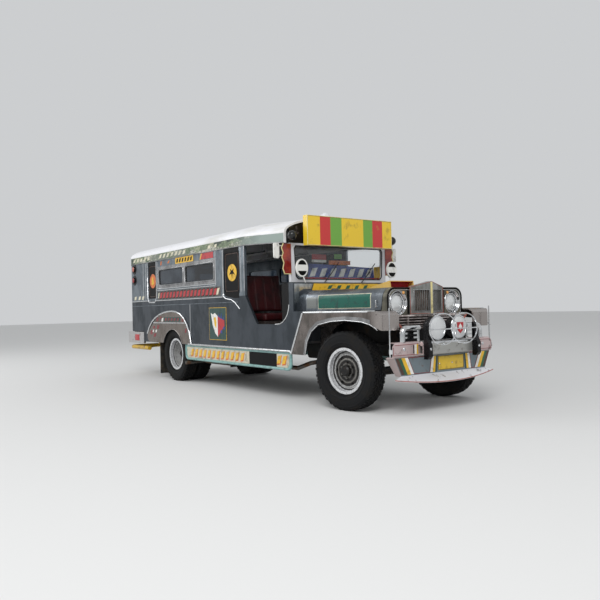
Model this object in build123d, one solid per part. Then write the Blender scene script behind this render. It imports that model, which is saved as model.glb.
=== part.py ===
from build123d import *
from math import cos, sin, radians, sqrt
import os

# A jeepney: ladder frame, long open-sided passenger body, upright nose with full wings.
# Millimetres. +X is forward, +Y is the vehicle's left, +Z is up, ground at Z = 0.
# Lengths along the vehicle are given ahead of the front axle, by ahead().

# Driving dimensions
FRONT_AXLE_X = 2334
WHEELBASE = 3690
BODY_HALF = 797
BODY_REAR = -5200
FRAME_END = -5240
WALL = 30
SHEET = 12
ROOF_HALF = BODY_HALF + 6
MOVING_GAP = 6
SEAT_GAP = 0.3

# Heights
SILL_Z = 530
BELT_Z = 1153
RAIL_LOW_Z = 1740
RAIL_TOP_Z = 1855
ROOF_RISE = 195
ROOF_SKIN = 26
ROOF_DROP = 45
FLOOR_Z = 640
FLOOR_THICK = 25
WING_TOP_Z = 946
WING_LOW_Z = 506

# Wheels, for 7.00-16 tyres
TYRE_RADIUS = 380
TYRE_WIDTH = 190
BEAD_RADIUS = 205
RIM_WIDTH = 140
FLANGE_RADIUS = 222
RIM_THICK = 6
DISC_OUTSET = 34
HUB_RADIUS = 52
NUT_CIRCLE = 76
HAND_HOLE_CIRCLE = 132
HAND_HOLES = 6
ARCH_RADIUS = TYRE_RADIUS + 22
ARCH_OPENING = 350
ARCH_SHEET = 12
TYRE_GAP = 8
REAR_OUTER_HALF = BODY_HALF - ARCH_SHEET - TYRE_GAP - TYRE_WIDTH / 2
FRONT_TRACK_HALF = REAR_OUTER_HALF + 8
TWIN_SPACING = 222
AXLE_Z = TYRE_RADIUS

# Steering
STEER_AT_REST = 8
KINGPIN_HALF = 580
KINGPIN_RADIUS = 14
PIN_CLEARANCE = 0.4
STEERING_ARM = 150
SPINDLE_RADIUS = 20
SHAFT_GAP = 0.5
HUB_BORE = SPINDLE_RADIUS + SHAFT_GAP
DRUM_END = 42

# Frame rails and springs
RAIL_HALF = 305
RAIL_WIDTH = 66
RAIL_BOTTOM_Z = 500
RAIL_TOP_FRAME_Z = FLOOR_Z - FLOOR_THICK
RAIL_WALL = 6
SPARE_Z = 360
TOW_BORE = 26
TOW_PLATE = 24
SPRING_WIDTH = 60
SPRING_THICK = 38

# Front end
NOSE_X = 335
NOSE_DEPTH = 52
NOSE_HALF = 525
NOSE_TOP_Z = 1165
NOSE_LOW_Z = 900
NOSE_CORNER = 95
LAMP_HALF = 383
LAMP_Z = 1020
LAMP_RADIUS = 86
HOOD_REAR = -640
HOOD_REAR_HALF = 705
HOOD_REAR_Z = 1175
HOOD_CORNER = 105
HOOD_LOW_Z = WING_TOP_Z + 8
HOOD_THICK = 14
HINGE_PIN = 5
HINGE_BARREL = 10
HINGE_GAP = 0.3
HINGE_X = HOOD_REAR - 8
HINGE_Z = HOOD_REAR_Z + HINGE_BARREL + 1
HINGE_HALF = 300
HINGE_LENGTH = 60
HINGE_LUG = 10
BONNET_REACH = sqrt((NOSE_X - MOVING_GAP - HINGE_X) ** 2 + (HINGE_Z - NOSE_TOP_Z) ** 2)
SHELL_HALF = 232
SHELL_SHOULDER_Z = 1175
SHELL_PEAK_Z = 1224
SHELL_RIDGE = 465
BUMPER_FACE = 618
BUMPER_DEPTH = 80
BUMPER_HALF = 692
BUMPER_LOW_Z = 520
BUMPER_TOP_Z = 660
BUMPER_WALL = 8
FRAME_FRONT = BUMPER_FACE - BUMPER_DEPTH
CHANNEL_FACE = 680
CHANNEL_HALF = 372
OVERRIDER_HALF = 340
OVERRIDER_WIDTH = 50
GUARD_RADIUS = 26
GUARD_HALF = 543
GUARD_TOP_Z = 785
VALANCE_LOW_Z = 348
PLATE_HOLES = 180
PLATE_Z = 440
DRIVING_LAMP_HALF = 151
DRIVING_LAMP_Z = 778
DRIVING_LAMP_RADIUS = 108
HOOP_X = 727
HOOP_Z = 766
HOOP_HALF = 184
HOOP_RISE = 144

# Cab
COWL_REAR = -1000
SCUTTLE_FRONT = -735
SCUTTLE_LOW_Z = 1030
SCREEN_X = -940
SCREEN_DEPTH = 40
SCREEN_LOW_Z = 1262
SCREEN_HALF = 720
ROOF_FRONT = -870
DOOR_REAR = -1700
DOOR_FRONT = -815
DOOR_SILL_Z = 820
DOOR_SILL_REAR = -1459
FLOOR_FRONT = -800
WING_FOOT_X = -796
WING_HEEL_X = -576
WHEEL_HUB = (-1395, 340, 1170)
COLUMN_TILT = 32


def ahead(distance):
    """Frame X of a place given ahead of the front axle."""
    return FRONT_AXLE_X + distance


REAR_AXLE_X = ahead(-WHEELBASE)


def block(x, y, z):
    """A box between a low and a high value on each axis."""
    size = [high - low for low, high in (x, y, z)]
    middle = [(low + high) / 2 for low, high in (x, y, z)]
    return Pos(*middle) * Box(*size)


def outline(*points):
    """A flat shape from its corners."""
    return make_face(Polyline(*points, close=True))


def from_side(sketch, y_low, y_high):
    """A shape drawn in side view, X across and Z up, between two values of Y."""
    plane = Plane(origin=(0, y_high, 0), x_dir=(1, 0, 0), z_dir=(0, -1, 0))
    return extrude(plane * sketch, y_high - y_low)


def from_front(sketch, x_low, x_high):
    """A shape drawn in front view, Y across and Z up, between two values of X."""
    plane = Plane(origin=(x_low, 0, 0), x_dir=(0, 1, 0), z_dir=(1, 0, 0))
    return extrude(plane * sketch, x_high - x_low)


def from_above(sketch, z_low, z_high):
    """A shape drawn in plan, between two heights."""
    return extrude(Plane.XY.offset(z_low) * sketch, z_high - z_low)


def rod(start, end, radius):
    """A round bar between two points."""
    start, end = Vector(*start), Vector(*end)
    return extrude(Plane(origin=start, z_dir=end - start) * Circle(radius), (end - start).length)


def tube(points, bend, radius):
    """A bent bar through its corner points."""
    path = FilletPolyline(*points, radius=bend)
    start = Plane(origin=path @ 0, z_dir=path % 0)
    return sweep(start * Circle(radius), path=path)


def mirrored(solid):
    """The same piece on the other side of the vehicle."""
    return mirror(solid, about=Plane.XZ)


def pair(solid):
    """A piece and its mirror image, kept apart."""
    return Compound(children=[*solid.solids(), *mirrored(solid).solids()])


def solids(*pieces):
    """Pieces that don't touch, kept in one node."""
    return Compound(children=[body for piece in pieces for body in piece.solids()])


def dome(radius, base, rise):
    """Outline of a shallow dome, from its rim to its top on the axis."""
    ball = (radius ** 2 + rise ** 2) / (2 * rise)
    middle = base + rise - ball + sqrt(ball ** 2 - radius ** 2 / 4)
    return ThreePointArc((radius, base), (radius / 2, middle), (0, base + rise))


def turned(*edges):
    """A solid of revolution about Y, from edges that form a closed half section."""
    section = edges[0]
    for edge in edges[1:]:
        section = section + edge
    return revolve(make_face(section), axis=Axis.Y)


# Wheels. Each is drawn with its axle along Y, its outer face towards -Y, at the origin.
def tyre():
    half = TYRE_WIDTH / 2
    bead_half = RIM_WIDTH / 2 - RIM_THICK - SEAT_GAP
    side = ((BEAD_RADIUS, bead_half), (FLANGE_RADIUS + 1, bead_half), (264, half), (345, half - 4),
            (TYRE_RADIUS, half - 30))
    section = outline(*side, *((radius, -y) for radius, y in reversed(side)))
    return revolve(section, axis=Axis.Y)


def rim(outset):
    """A pressed steel rim with its disc set out from the middle plane."""
    half = RIM_WIDTH / 2
    bed = outline((FLANGE_RADIUS, half), (FLANGE_RADIUS, half - RIM_THICK), (BEAD_RADIUS - 1, half - RIM_THICK),
                  (BEAD_RADIUS - 1, 26), (176, 14), (176, -14), (BEAD_RADIUS - 1, -26),
                  (BEAD_RADIUS - 1, RIM_THICK - half), (FLANGE_RADIUS, RIM_THICK - half),
                  (FLANGE_RADIUS, -half), (BEAD_RADIUS - 9, -half), (BEAD_RADIUS - 9, -28), (168, -20),
                  (168, 20), (BEAD_RADIUS - 9, 28), (BEAD_RADIUS - 9, half))
    face = -outset
    disc = outline((174, -12), (174, 2), (160, face + 14), (112, face + 12), (100, face + 8),
                   (HUB_BORE, face + 8), (HUB_BORE, face), (104, face), (118, face + 4), (156, face + 4))
    wheel = revolve(bed, axis=Axis.Y) + revolve(disc, axis=Axis.Y)
    for turn in range(HAND_HOLES):
        hole = Pos(0, face + 10, 0) * Rot(0, 360 / HAND_HOLES * turn, 0) * Pos(HAND_HOLE_CIRCLE, 0, 0)
        wheel -= hole * Rot(90, 0, 0) * Cylinder(17, 60)
    for turn in range(HAND_HOLES):
        place = Rot(0, 360 / HAND_HOLES * (turn + 0.5), 0) * Pos(NUT_CIRCLE, face + 1, 0)
        wheel += place * Rot(90, 0, 0) * extrude(RegularPolygon(13, 6), 15)
    return wheel


def front_hub():
    """Hub, cap and brake drum that turn with the wheel."""
    face = -DISC_OUTSET
    barrel = outline((HUB_BORE, face), (HUB_RADIUS, face), (HUB_RADIUS, face - 30), (38, face - 44), (0, face - 44),
                     (0, face - 36), (HUB_BORE, face - 30))
    drum = outline((HUB_BORE, face + 4), (98, face + 4), (140, face + 16), (150, face + 26),
                   (150, DRUM_END), (142, DRUM_END), (142, face + 28), (62, face + 20),
                   (46, DRUM_END - 6), (HUB_BORE, DRUM_END - 6))
    return revolve(barrel, axis=Axis.Y) + revolve(drum, axis=Axis.Y)


def front_wheel_place(side):
    """Side is -1 for the right wheel, 1 for the left."""
    reach = FRONT_TRACK_HALF - KINGPIN_HALF
    pin = Pos(FRONT_AXLE_X, side * KINGPIN_HALF, AXLE_Z) * Rot(0, 0, STEER_AT_REST)
    face_out = Rot(0, 0, 180) if side > 0 else Rot(0, 0, 0)
    return pin * Pos(0, side * reach, 0) * face_out


def rear_wheel_place(side, twin):
    face_out = Rot(0, 0, 180) if side > 0 else Rot(0, 0, 0)
    return Pos(REAR_AXLE_X, side * (REAR_OUTER_HALF - TWIN_SPACING * twin), AXLE_Z) * face_out


def rear_rims(side):
    """Outer rim dished in, inner rim dished out, back to back on one hub."""
    outer = rear_wheel_place(side, 0) * rim(-TWIN_SPACING / 2 + 16)
    inner = rear_wheel_place(side, 1) * Rot(0, 0, 180) * rim(-TWIN_SPACING / 2 + 16)
    carrier = outline((HUB_BORE, -92), (HUB_RADIUS, -92), (HUB_RADIUS, 6), (146, 12), (150, 20),
                      (150, 70), (142, 70), (142, 24), (62, 16), (HUB_BORE, 16))
    cap = outline((0, -110), (30, -110), (HUB_RADIUS, -92), (0, -92))
    middle = Pos(REAR_AXLE_X, side * (REAR_OUTER_HALF - TWIN_SPACING / 2), AXLE_Z)
    turned = Rot(0, 0, 180) if side > 0 else Rot(0, 0, 0)
    return outer + inner + middle * turned * (revolve(carrier, axis=Axis.Y) + revolve(cap, axis=Axis.Y))


# Steering and axles
def knuckle(side):
    """Yoke round the axle eye, kingpin, stub axle, brake backing plate and steering arm."""
    pin = Pos(FRONT_AXLE_X, side * KINGPIN_HALF, AXLE_Z) * Rot(0, 0, STEER_AT_REST)
    yoke = block((-34, 34), (40, 54), (-78, 78))
    for low, high in ((-78, -54), (54, 78)):
        ear = from_above(outline((-34, 54), (-30, 0), (30, 0), (34, 54)) + Circle(30), low, high)
        yoke += ear
    yoke += Cylinder(KINGPIN_RADIUS, 156)
    yoke += rod((0, 50, 0), (0, 132, 0), SPINDLE_RADIUS)
    yoke += rod((0, 54, 0), (0, 62, 0), 128)
    arm_end = (-STEERING_ARM, 0, -66)
    yoke += rod((-20, 6, -66), arm_end, 12)
    yoke += Pos(*arm_end) * Cylinder(20, 24)
    if side < 0:
        yoke = mirror(yoke, about=Plane.XZ)
    return pin * yoke


def tie_rod():
    """Rod between the ends of the steering arms, held on a pin at each."""
    turn = radians(STEER_AT_REST)
    x = FRONT_AXLE_X - STEERING_ARM * cos(turn)
    shift = -STEERING_ARM * sin(turn)
    z = AXLE_Z - 66 - 12 - SHAFT_GAP - 15
    ends = [shift - KINGPIN_HALF, shift + KINGPIN_HALF]
    rod_solid = rod((x, ends[0], z), (x, ends[1], z), 11)
    for y in ends:
        rod_solid += Pos(x, y, z) * Cylinder(17, 30)
    return rod_solid


def front_axle():
    """Dropped beam with an eye at each end for the kingpin."""
    eye = KINGPIN_HALF
    drop = 70
    profile = outline((-eye, -22), (-eye, 26), (-eye + 60, 24), (-440, -drop + 52), (440, -drop + 52),
                      (eye - 60, 24), (eye, 26), (eye, -22), (eye - 70, -26), (430, -drop), (-430, -drop),
                      (-eye + 70, -26))
    beam = from_front(Pos(0, AXLE_Z) * profile, FRONT_AXLE_X - 26, FRONT_AXLE_X + 26)
    waist = block((8, 60), (-425, 425), (9 - drop, 43 - drop))
    for turn in (0, 180):
        beam -= Pos(FRONT_AXLE_X, 0, AXLE_Z) * Rot(0, 0, turn) * waist
    for side in (-1, 1):
        boss = Pos(FRONT_AXLE_X, side * eye, AXLE_Z)
        beam += boss * Cylinder(29, 98)
        beam -= boss * Cylinder(KINGPIN_RADIUS + PIN_CLEARANCE, 120)
    return beam


def rear_axle():
    """Axle tubes and a round final-drive housing."""
    end = REAR_OUTER_HALF - TWIN_SPACING / 2 + 60
    axle = rod((REAR_AXLE_X, -end, AXLE_Z), (REAR_AXLE_X, end, AXLE_Z), SPINDLE_RADIUS)
    tube_end = REAR_OUTER_HALF - TWIN_SPACING / 2 - 16 - 60
    axle += rod((REAR_AXLE_X, -tube_end, AXLE_Z), (REAR_AXLE_X, tube_end, AXLE_Z), 44)
    axle += Pos(REAR_AXLE_X, 0, AXLE_Z) * Sphere(150)
    axle += rod((REAR_AXLE_X, 0, AXLE_Z), (REAR_AXLE_X + 250, 0, AXLE_Z + 12), 58)
    return axle


SPRINGS = (
    # axle x, y, rear reach, front reach, height of the spring seat over the axle centre
    (FRONT_AXLE_X, RAIL_HALF + 6, 470, 430, -18),
    (REAR_AXLE_X, RAIL_HALF, 620, 560, 44),
)


def leaf_springs():
    """Semi-elliptic springs on top of both axles, hung under the frame rails."""
    pieces = []
    for axle_x, y, rear, front, seat in SPRINGS:
        low = AXLE_Z + seat
        eye = RAIL_BOTTOM_Z - 24
        main = make_face(ThreePointArc((-rear, eye), (0, low + SPRING_THICK - 12), (front, eye))
                         + Line((front, eye), (front, eye - 12))
                         + ThreePointArc((front, eye - 12), (0, low + SPRING_THICK - 24), (-rear, eye - 12))
                         + Line((-rear, eye - 12), (-rear, eye)))
        stack = outline((-rear * 0.62, low + SPRING_THICK), (-60, low), (60, low),
                        (front * 0.62, low + SPRING_THICK), (0, low + SPRING_THICK - 12))
        spring = from_side(Pos(axle_x, 0) * (main + stack), y - SPRING_WIDTH / 2, y + SPRING_WIDTH / 2)
        for reach in (-rear, front):
            spring += rod((axle_x + reach, y - SPRING_WIDTH / 2, eye - 4),
                          (axle_x + reach, y + SPRING_WIDTH / 2, eye - 4), 20)
            spring += block((axle_x + reach - 16, axle_x + reach + 16), (y - 26, y + 26),
                            (eye, RAIL_BOTTOM_Z))
        pieces.append(spring)
        pieces.append(mirrored(spring))
    return solids(*pieces)


# Frame and running gear
CROSSMEMBERS = (500, -380, -1250, -2150, -2950, -4340, -5200)
CROSSMEMBER_INSET = 22


def frame_rails():
    """The two channel rails of the ladder frame, open inwards."""
    low, high = RAIL_BOTTOM_Z, RAIL_TOP_FRAME_Z
    half = RAIL_WIDTH / 2
    channel = outline((RAIL_HALF - half, low), (RAIL_HALF + half, low), (RAIL_HALF + half, high),
                      (RAIL_HALF - half, high), (RAIL_HALF - half, high - RAIL_WALL),
                      (RAIL_HALF + half - RAIL_WALL, high - RAIL_WALL),
                      (RAIL_HALF + half - RAIL_WALL, low + RAIL_WALL), (RAIL_HALF - half, low + RAIL_WALL))
    return pair(from_front(channel, ahead(FRAME_END), ahead(FRAME_FRONT)))


def crossmembers():
    """Box crossmembers between the webs of the rails, the towing eye and the spare wheel's cradle."""
    reach = RAIL_HALF + RAIL_WIDTH / 2 - RAIL_WALL - SEAT_GAP
    heights = (RAIL_BOTTOM_Z + CROSSMEMBER_INSET, RAIL_TOP_FRAME_Z - CROSSMEMBER_INSET)
    pieces = [block((ahead(place) - 30, ahead(place) + 30), (-reach, reach), heights) for place in CROSSMEMBERS]
    pieces[-1] += towing_eye()
    return solids(*pieces, spare_cradle())


def spare_cradle():
    """Strap under the spare wheel, hung from two crossmembers."""
    rear, front = ahead(CROSSMEMBERS[-1]), ahead(CROSSMEMBERS[-2])
    low = SPARE_Z - TYRE_WIDTH / 2 - SEAT_GAP - 10
    cradle = block((rear - 8, front + 8), (-30, 30), (low, low + 10))
    for x in (rear, front):
        cradle += block((x - 8, x + 8), (-30, 30), (low, RAIL_BOTTOM_Z + CROSSMEMBER_INSET - SEAT_GAP))
    return cradle


TOW_LOW_Z = 440


def towing_eye():
    """Plate with a pin bore, run out under the bumper from the rear crossmember."""
    shape = outline((-5225, 540), (-5212, TOW_LOW_Z), (-5400, TOW_LOW_Z), (-5400, 494), (-5246, 494), (-5240, 540))
    shape -= Pos(-5372, TOW_LOW_Z + 27) * Circle(TOW_BORE / 2)
    return from_side(Pos(FRONT_AXLE_X, 0) * shape, -TOW_PLATE / 2, TOW_PLATE / 2)


ENGINE_REAR = -620


def engine_block():
    """Engine as one plain block, between the rails behind the front axle."""
    return block((ahead(ENGINE_REAR), ahead(120)), (-230, 230), (RAIL_BOTTOM_Z + 60, 985)) \
        - block((ahead(-410), ahead(-350)), (-400, 400), (RAIL_BOTTOM_Z, RAIL_TOP_FRAME_Z - 20))


def driveline():
    """Gearbox behind the engine and the shaft to the rear axle."""
    face = ENGINE_REAR - SEAT_GAP
    shape = outline((-1180, 470), (face, 540), (face, 790), (-900, 760), (-1180, 590))
    gearbox = from_side(Pos(FRONT_AXLE_X, 0) * shape, -105, 105)
    shaft = rod((ahead(-1175), 0, 530), (REAR_AXLE_X + 252, 0, AXLE_Z + 12), 34)
    return gearbox + shaft - block((ahead(-1282), ahead(-1218)), (-200, 200), (520, 600))


def fuel_tank():
    """Tank hung outside the left rail, under the floor."""
    tank = block((ahead(-2050), ahead(-1350)), (RAIL_HALF + 60, 690), (330, 590))
    tank = fillet(tank.edges().filter_by(Axis.X), 40)
    for x in (-1950, -1450):
        tank += block((ahead(x) - 20, ahead(x) + 20), (RAIL_HALF + RAIL_WIDTH / 2, 500), (560, 600))
    return tank


def exhaust():
    """Silencer and tail pipe under the right side."""
    y = -560
    silencer = Rot(0, 90, 0) * Cylinder(62, 620)
    silencer = Pos(ahead(-2800), y, 330) * silencer
    down = [(ahead(-590), -180, RAIL_BOTTOM_Z + 60), (ahead(-590), -180, 440), (ahead(-760), y, 400),
            (ahead(-1000), y, 330), (ahead(-2500), y, 330)]
    pipe = tube(down, 40, 24)
    tail = tube([(ahead(-3100), y, 330), (ahead(-3190), y, 300), (ahead(-3220), -835, 285)], 30, 24)
    straps = [block((ahead(x) - 15, ahead(x) + 15), (y - 8, y + 8), (380, FLOOR_Z - FLOOR_THICK))
              for x in (-2650, -2950)]
    system = silencer + pipe + tail
    for strap in straps:
        system += strap
    return system


# Floor and body
WHEEL_BOX = dict(rear=-470, front=470, inner=REAR_OUTER_HALF - TWIN_SPACING - TYRE_WIDTH / 2 - 20, top=812)
TUNNEL_HALF = 140


def cabin_floor():
    """Flat floor, cut out over the rear wheels, with a hump over the gearbox."""
    low = FLOOR_Z - FLOOR_THICK
    inside = BODY_HALF - WALL
    floor = block((ahead(BODY_REAR), ahead(FLOOR_FRONT)), (-inside, inside), (low, FLOOR_Z))
    floor += block((ahead(FLOOR_FRONT) - 1, ahead(HOOD_REAR) - MOVING_GAP), (-640, 640), (low, FLOOR_Z))
    edge = SHEET + SEAT_GAP
    well = block((REAR_AXLE_X + WHEEL_BOX["rear"] - edge, REAR_AXLE_X + WHEEL_BOX["front"] + edge),
                 (WHEEL_BOX["inner"] - edge, inside + 1), (low - 1, FLOOR_Z + 1))
    floor = floor - well - mirrored(well)
    tunnel = tunnel_shape(0, TUNNEL_HALF)
    return floor + tunnel - tunnel_shape(SHEET, TUNNEL_HALF - SHEET)


def tunnel_shape(inset, half):
    """Hump over the gearbox."""
    low = FLOOR_Z - FLOOR_THICK
    front = HOOD_REAR - MOVING_GAP + inset
    shape = outline((-1300 - inset, low - inset), (front, low - inset), (front, 830 - inset), (-900, 790 - inset),
                    (-1300, FLOOR_Z - inset))
    return from_side(Pos(FRONT_AXLE_X, 0) * shape, -half, half)


def wing_edge(z):
    """X of the slanted line where the body side meets the wing."""
    return WING_FOOT_X + (WING_HEEL_X - WING_FOOT_X) * (z - WING_LOW_Z) / (WING_TOP_Z - WING_LOW_Z)


def body_sides():
    """Lower sides: from the wheel arch and sill up to the belt, with the front doorway."""
    scuttle = SCUTTLE_LOW_Z - SEAT_GAP
    shape = outline((BODY_REAR, 684), (-4740, 684), (-4740, SILL_Z), (wing_edge(SILL_Z), SILL_Z),
                    (WING_HEEL_X, WING_TOP_Z), (WING_HEEL_X, WING_TOP_Z + 12), (SCUTTLE_FRONT, WING_TOP_Z + 12),
                    (SCUTTLE_FRONT, scuttle), (DOOR_FRONT, scuttle), (DOOR_FRONT, DOOR_SILL_Z),
                    (DOOR_SILL_REAR, DOOR_SILL_Z), (DOOR_REAR, BELT_Z), (BODY_REAR, BELT_Z))
    shape = fillet(shape.vertices().sort_by_distance(Vector(DOOR_FRONT, DOOR_SILL_Z))[0], 200)
    shape = fillet(shape.vertices().sort_by_distance(Vector(DOOR_SILL_REAR, DOOR_SILL_Z))[0], 60)
    shape -= Pos(-WHEELBASE, AXLE_Z) * Circle(ARCH_OPENING)
    pocket = from_side(Pos(REAR_AXLE_X, AXLE_Z) * Circle(ARCH_RADIUS), 0, BODY_HALF - ARCH_SHEET)
    return pair(from_side(Pos(FRONT_AXLE_X, 0) * shape, BODY_HALF - WALL, BODY_HALF) - pocket)


WINDOWS = (
    # rear x, front x, low z, high z
    (-4530, -4240, 1185, 1705),
    (-4130, -3340, 1383, 1595),
    (-3260, -2460, 1383, 1595),
    (-2200, -1820, 1180, 1705),
)


def window_sides():
    """Upper sides: window frames from the belt to the roof edge."""
    shape = outline((BODY_REAR, BELT_Z), (DOOR_REAR, BELT_Z), (DOOR_REAR, RAIL_LOW_Z), (BODY_REAR, RAIL_LOW_Z))
    panel = from_side(Pos(FRONT_AXLE_X, 0) * shape, BODY_HALF - WALL, BODY_HALF)
    for rear, front, low, high in WINDOWS:
        hole = outline((rear, low), (front, low), (front, high), (rear, high))
        hole = fillet(hole.vertices(), 30)
        panel -= from_side(Pos(FRONT_AXLE_X, 0) * hole, BODY_HALF - WALL - 1, BODY_HALF + 1)
    return pair(panel)


def quarter_panels():
    """Dark panels that close the narrow windows at both ends of the body."""
    pieces = []
    for rear, front, low, high in (WINDOWS[0], WINDOWS[3]):
        shape = fillet(outline((rear, low), (front, low), (front, high), (rear, high)).vertices(), 30)
        pieces.append(pair(from_side(Pos(FRONT_AXLE_X, 0) * shape, BODY_HALF - 20, BODY_HALF - 8)))
    return solids(*pieces)


def roof_section(inset, low):
    """Arch of the roof in front view, closed at a low height and moved in from its outer face."""
    half = ROOF_HALF - inset
    wall = outline((-half, low), (half, low), (half, RAIL_TOP_Z), (-half, RAIL_TOP_Z))
    above_rail = Pos(0, ROOF_RISE) * Rectangle(2 * half, 2 * ROOF_RISE)
    arch = Pos(0, RAIL_TOP_Z) * (Ellipse(half, ROOF_RISE - inset) & above_rail)
    return wall + arch


def along_roof(section, front):
    """A front view carried along the roof's line: level over the benches, falling over the cab."""
    bend = ahead(DOOR_REAR)
    run = front - DOOR_REAR
    fall = ROOF_DROP * run / (ROOF_FRONT - DOOR_REAR)
    plane = Plane(origin=(bend, 0, 0), x_dir=(0, 1, 0), z_dir=(1, 0, 0))
    return from_front(section, ahead(BODY_REAR), bend) \
        + extrude(plane * section, sqrt(run ** 2 + fall ** 2), dir=(run, 0, -fall))


def roof():
    """Arched roof with deep painted edges."""
    return along_roof(roof_section(0, RAIL_LOW_Z) - roof_section(ROOF_SKIN, RAIL_LOW_Z - 1), ROOF_FRONT)


def under_roof(piece):
    """What is left of a piece when its top is cut to the roof's inner face."""
    above = outline((-ROOF_HALF - 100, 1), (ROOF_HALF + 100, 1), (ROOF_HALF + 100, 3000), (-ROOF_HALF - 100, 3000))
    return piece - along_roof(above - roof_section(ROOF_SKIN + SEAT_GAP, 0), ROOF_FRONT)


REAR_DOOR_HALF = 330


def rear_wall():
    """Rear frame round the open entrance, with a window on each side."""
    inside = BODY_HALF - WALL
    through = (ahead(BODY_REAR) - 1, ahead(BODY_REAR) + WALL + 1)
    wall = under_roof(block((ahead(BODY_REAR), ahead(BODY_REAR) + WALL), (-inside, inside),
                            (FLOOR_Z, RAIL_TOP_Z + ROOF_RISE)))
    wall -= block(through, (-REAR_DOOR_HALF, REAR_DOOR_HALF), (FLOOR_Z - 1, RAIL_LOW_Z - 20))
    opening = block(through, (REAR_DOOR_HALF + 90, inside - 77), (1200, 1620))
    return wall - opening - mirrored(opening)


COWL_SHEET = 25


def neck(inset):
    """The scuttle's rounded front, which carries the bonnet's line back to the screen box."""
    sections = []
    for x, half in ((SCUTTLE_FRONT - 1 - inset, HOOD_REAR_HALF + 18), (HOOD_REAR - MOVING_GAP - inset, HOOD_REAR_HALF)):
        plane = Plane(origin=(ahead(x), 0, 0), x_dir=(0, 1, 0), z_dir=(1, 0, 0))
        sections.append(plane * bonnet_section(half - inset, HOOD_REAR_Z - inset, FLOOR_Z - inset, HOOD_CORNER - inset))
    return loft(sections)


def cowl():
    """Scuttle: a box under the screen as wide as the body, with the bonnet's line carried into it."""
    rear, front = ahead(COWL_REAR), ahead(SCUTTLE_FRONT)
    inside = BODY_HALF - WALL - 8
    body = block((rear, front), (-inside, inside), (FLOOR_Z, SCREEN_LOW_Z))
    body += block((ahead(DOOR_FRONT), front), (-BODY_HALF, BODY_HALF), (SCUTTLE_LOW_Z, SCREEN_LOW_Z))
    body += neck(0)
    body -= block((rear - 1, front - COWL_SHEET), (COWL_SHEET - inside, inside - COWL_SHEET),
                  (FLOOR_Z - 1, SCREEN_LOW_Z - COWL_SHEET))
    body -= neck(COWL_SHEET)
    return body - tunnel_shape(0, TUNNEL_HALF) + bonnet_hinge_lugs()


def bonnet_hinge_lugs():
    """Two pins for the bonnet's hinge, each between a pair of lugs on the scuttle."""
    lug = (Pos(HINGE_X, HINGE_Z) * Circle(HINGE_BARREL - 1)
           + outline((HINGE_X - 22, HOOD_REAR_Z), (HOOD_REAR - MOVING_GAP, HOOD_REAR_Z),
                     (HOOD_REAR - MOVING_GAP, HINGE_Z), (HINGE_X - 2, HINGE_Z + HINGE_BARREL - 2),
                     (HINGE_X - 22, HOOD_REAR_Z + 6)))
    reach = HINGE_LENGTH / 2 + SHAFT_GAP
    hinge = rod((ahead(HINGE_X), -reach - 1, HINGE_Z), (ahead(HINGE_X), reach + 1, HINGE_Z), HINGE_PIN)
    hinge += from_side(Pos(FRONT_AXLE_X, 0) * lug, reach, reach + HINGE_LUG)
    hinge += from_side(Pos(FRONT_AXLE_X, 0) * lug, -reach - HINGE_LUG, -reach)
    return Pos(0, HINGE_HALF, 0) * hinge + Pos(0, -HINGE_HALF, 0) * hinge


def dashboard():
    """Instrument panel across the cab under the screen."""
    shape = outline((-1130, 1080), (COWL_REAR - 10, 1080), (COWL_REAR, 1100), (COWL_REAR, 1250), (-1090, 1250),
                    (-1130, 1170))
    return from_side(Pos(FRONT_AXLE_X, 0) * shape, -640, 640)


def screen_frame():
    """Windscreen frame with its pillars and header."""
    outer = outline((-SCREEN_HALF + 20, SCREEN_LOW_Z), (SCREEN_HALF - 20, SCREEN_LOW_Z),
                    (SCREEN_HALF, RAIL_TOP_Z + ROOF_RISE), (-SCREEN_HALF, RAIL_TOP_Z + ROOF_RISE))
    hole = outline((-SCREEN_HALF + 86, SCREEN_LOW_Z + 45), (SCREEN_HALF - 86, SCREEN_LOW_Z + 45),
                   (SCREEN_HALF - 68, 1672), (-SCREEN_HALF + 68, 1672))
    hole = fillet(hole.vertices(), 40)
    return under_roof(from_front(outer - hole, ahead(SCREEN_X), ahead(SCREEN_X) + SCREEN_DEPTH))


def screen_glass():
    """One flat pane held in the frame."""
    pane = outline((-SCREEN_HALF + 87, SCREEN_LOW_Z + 46), (SCREEN_HALF - 87, SCREEN_LOW_Z + 46),
                   (SCREEN_HALF - 69, 1671), (-SCREEN_HALF + 69, 1671))
    pane = fillet(pane.vertices(), 40)
    return from_front(pane, ahead(SCREEN_X) + 16, ahead(SCREEN_X) + 22)


WING_INNER = 505
WING_FRONT = 536
NECK_GAP = 10


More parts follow.
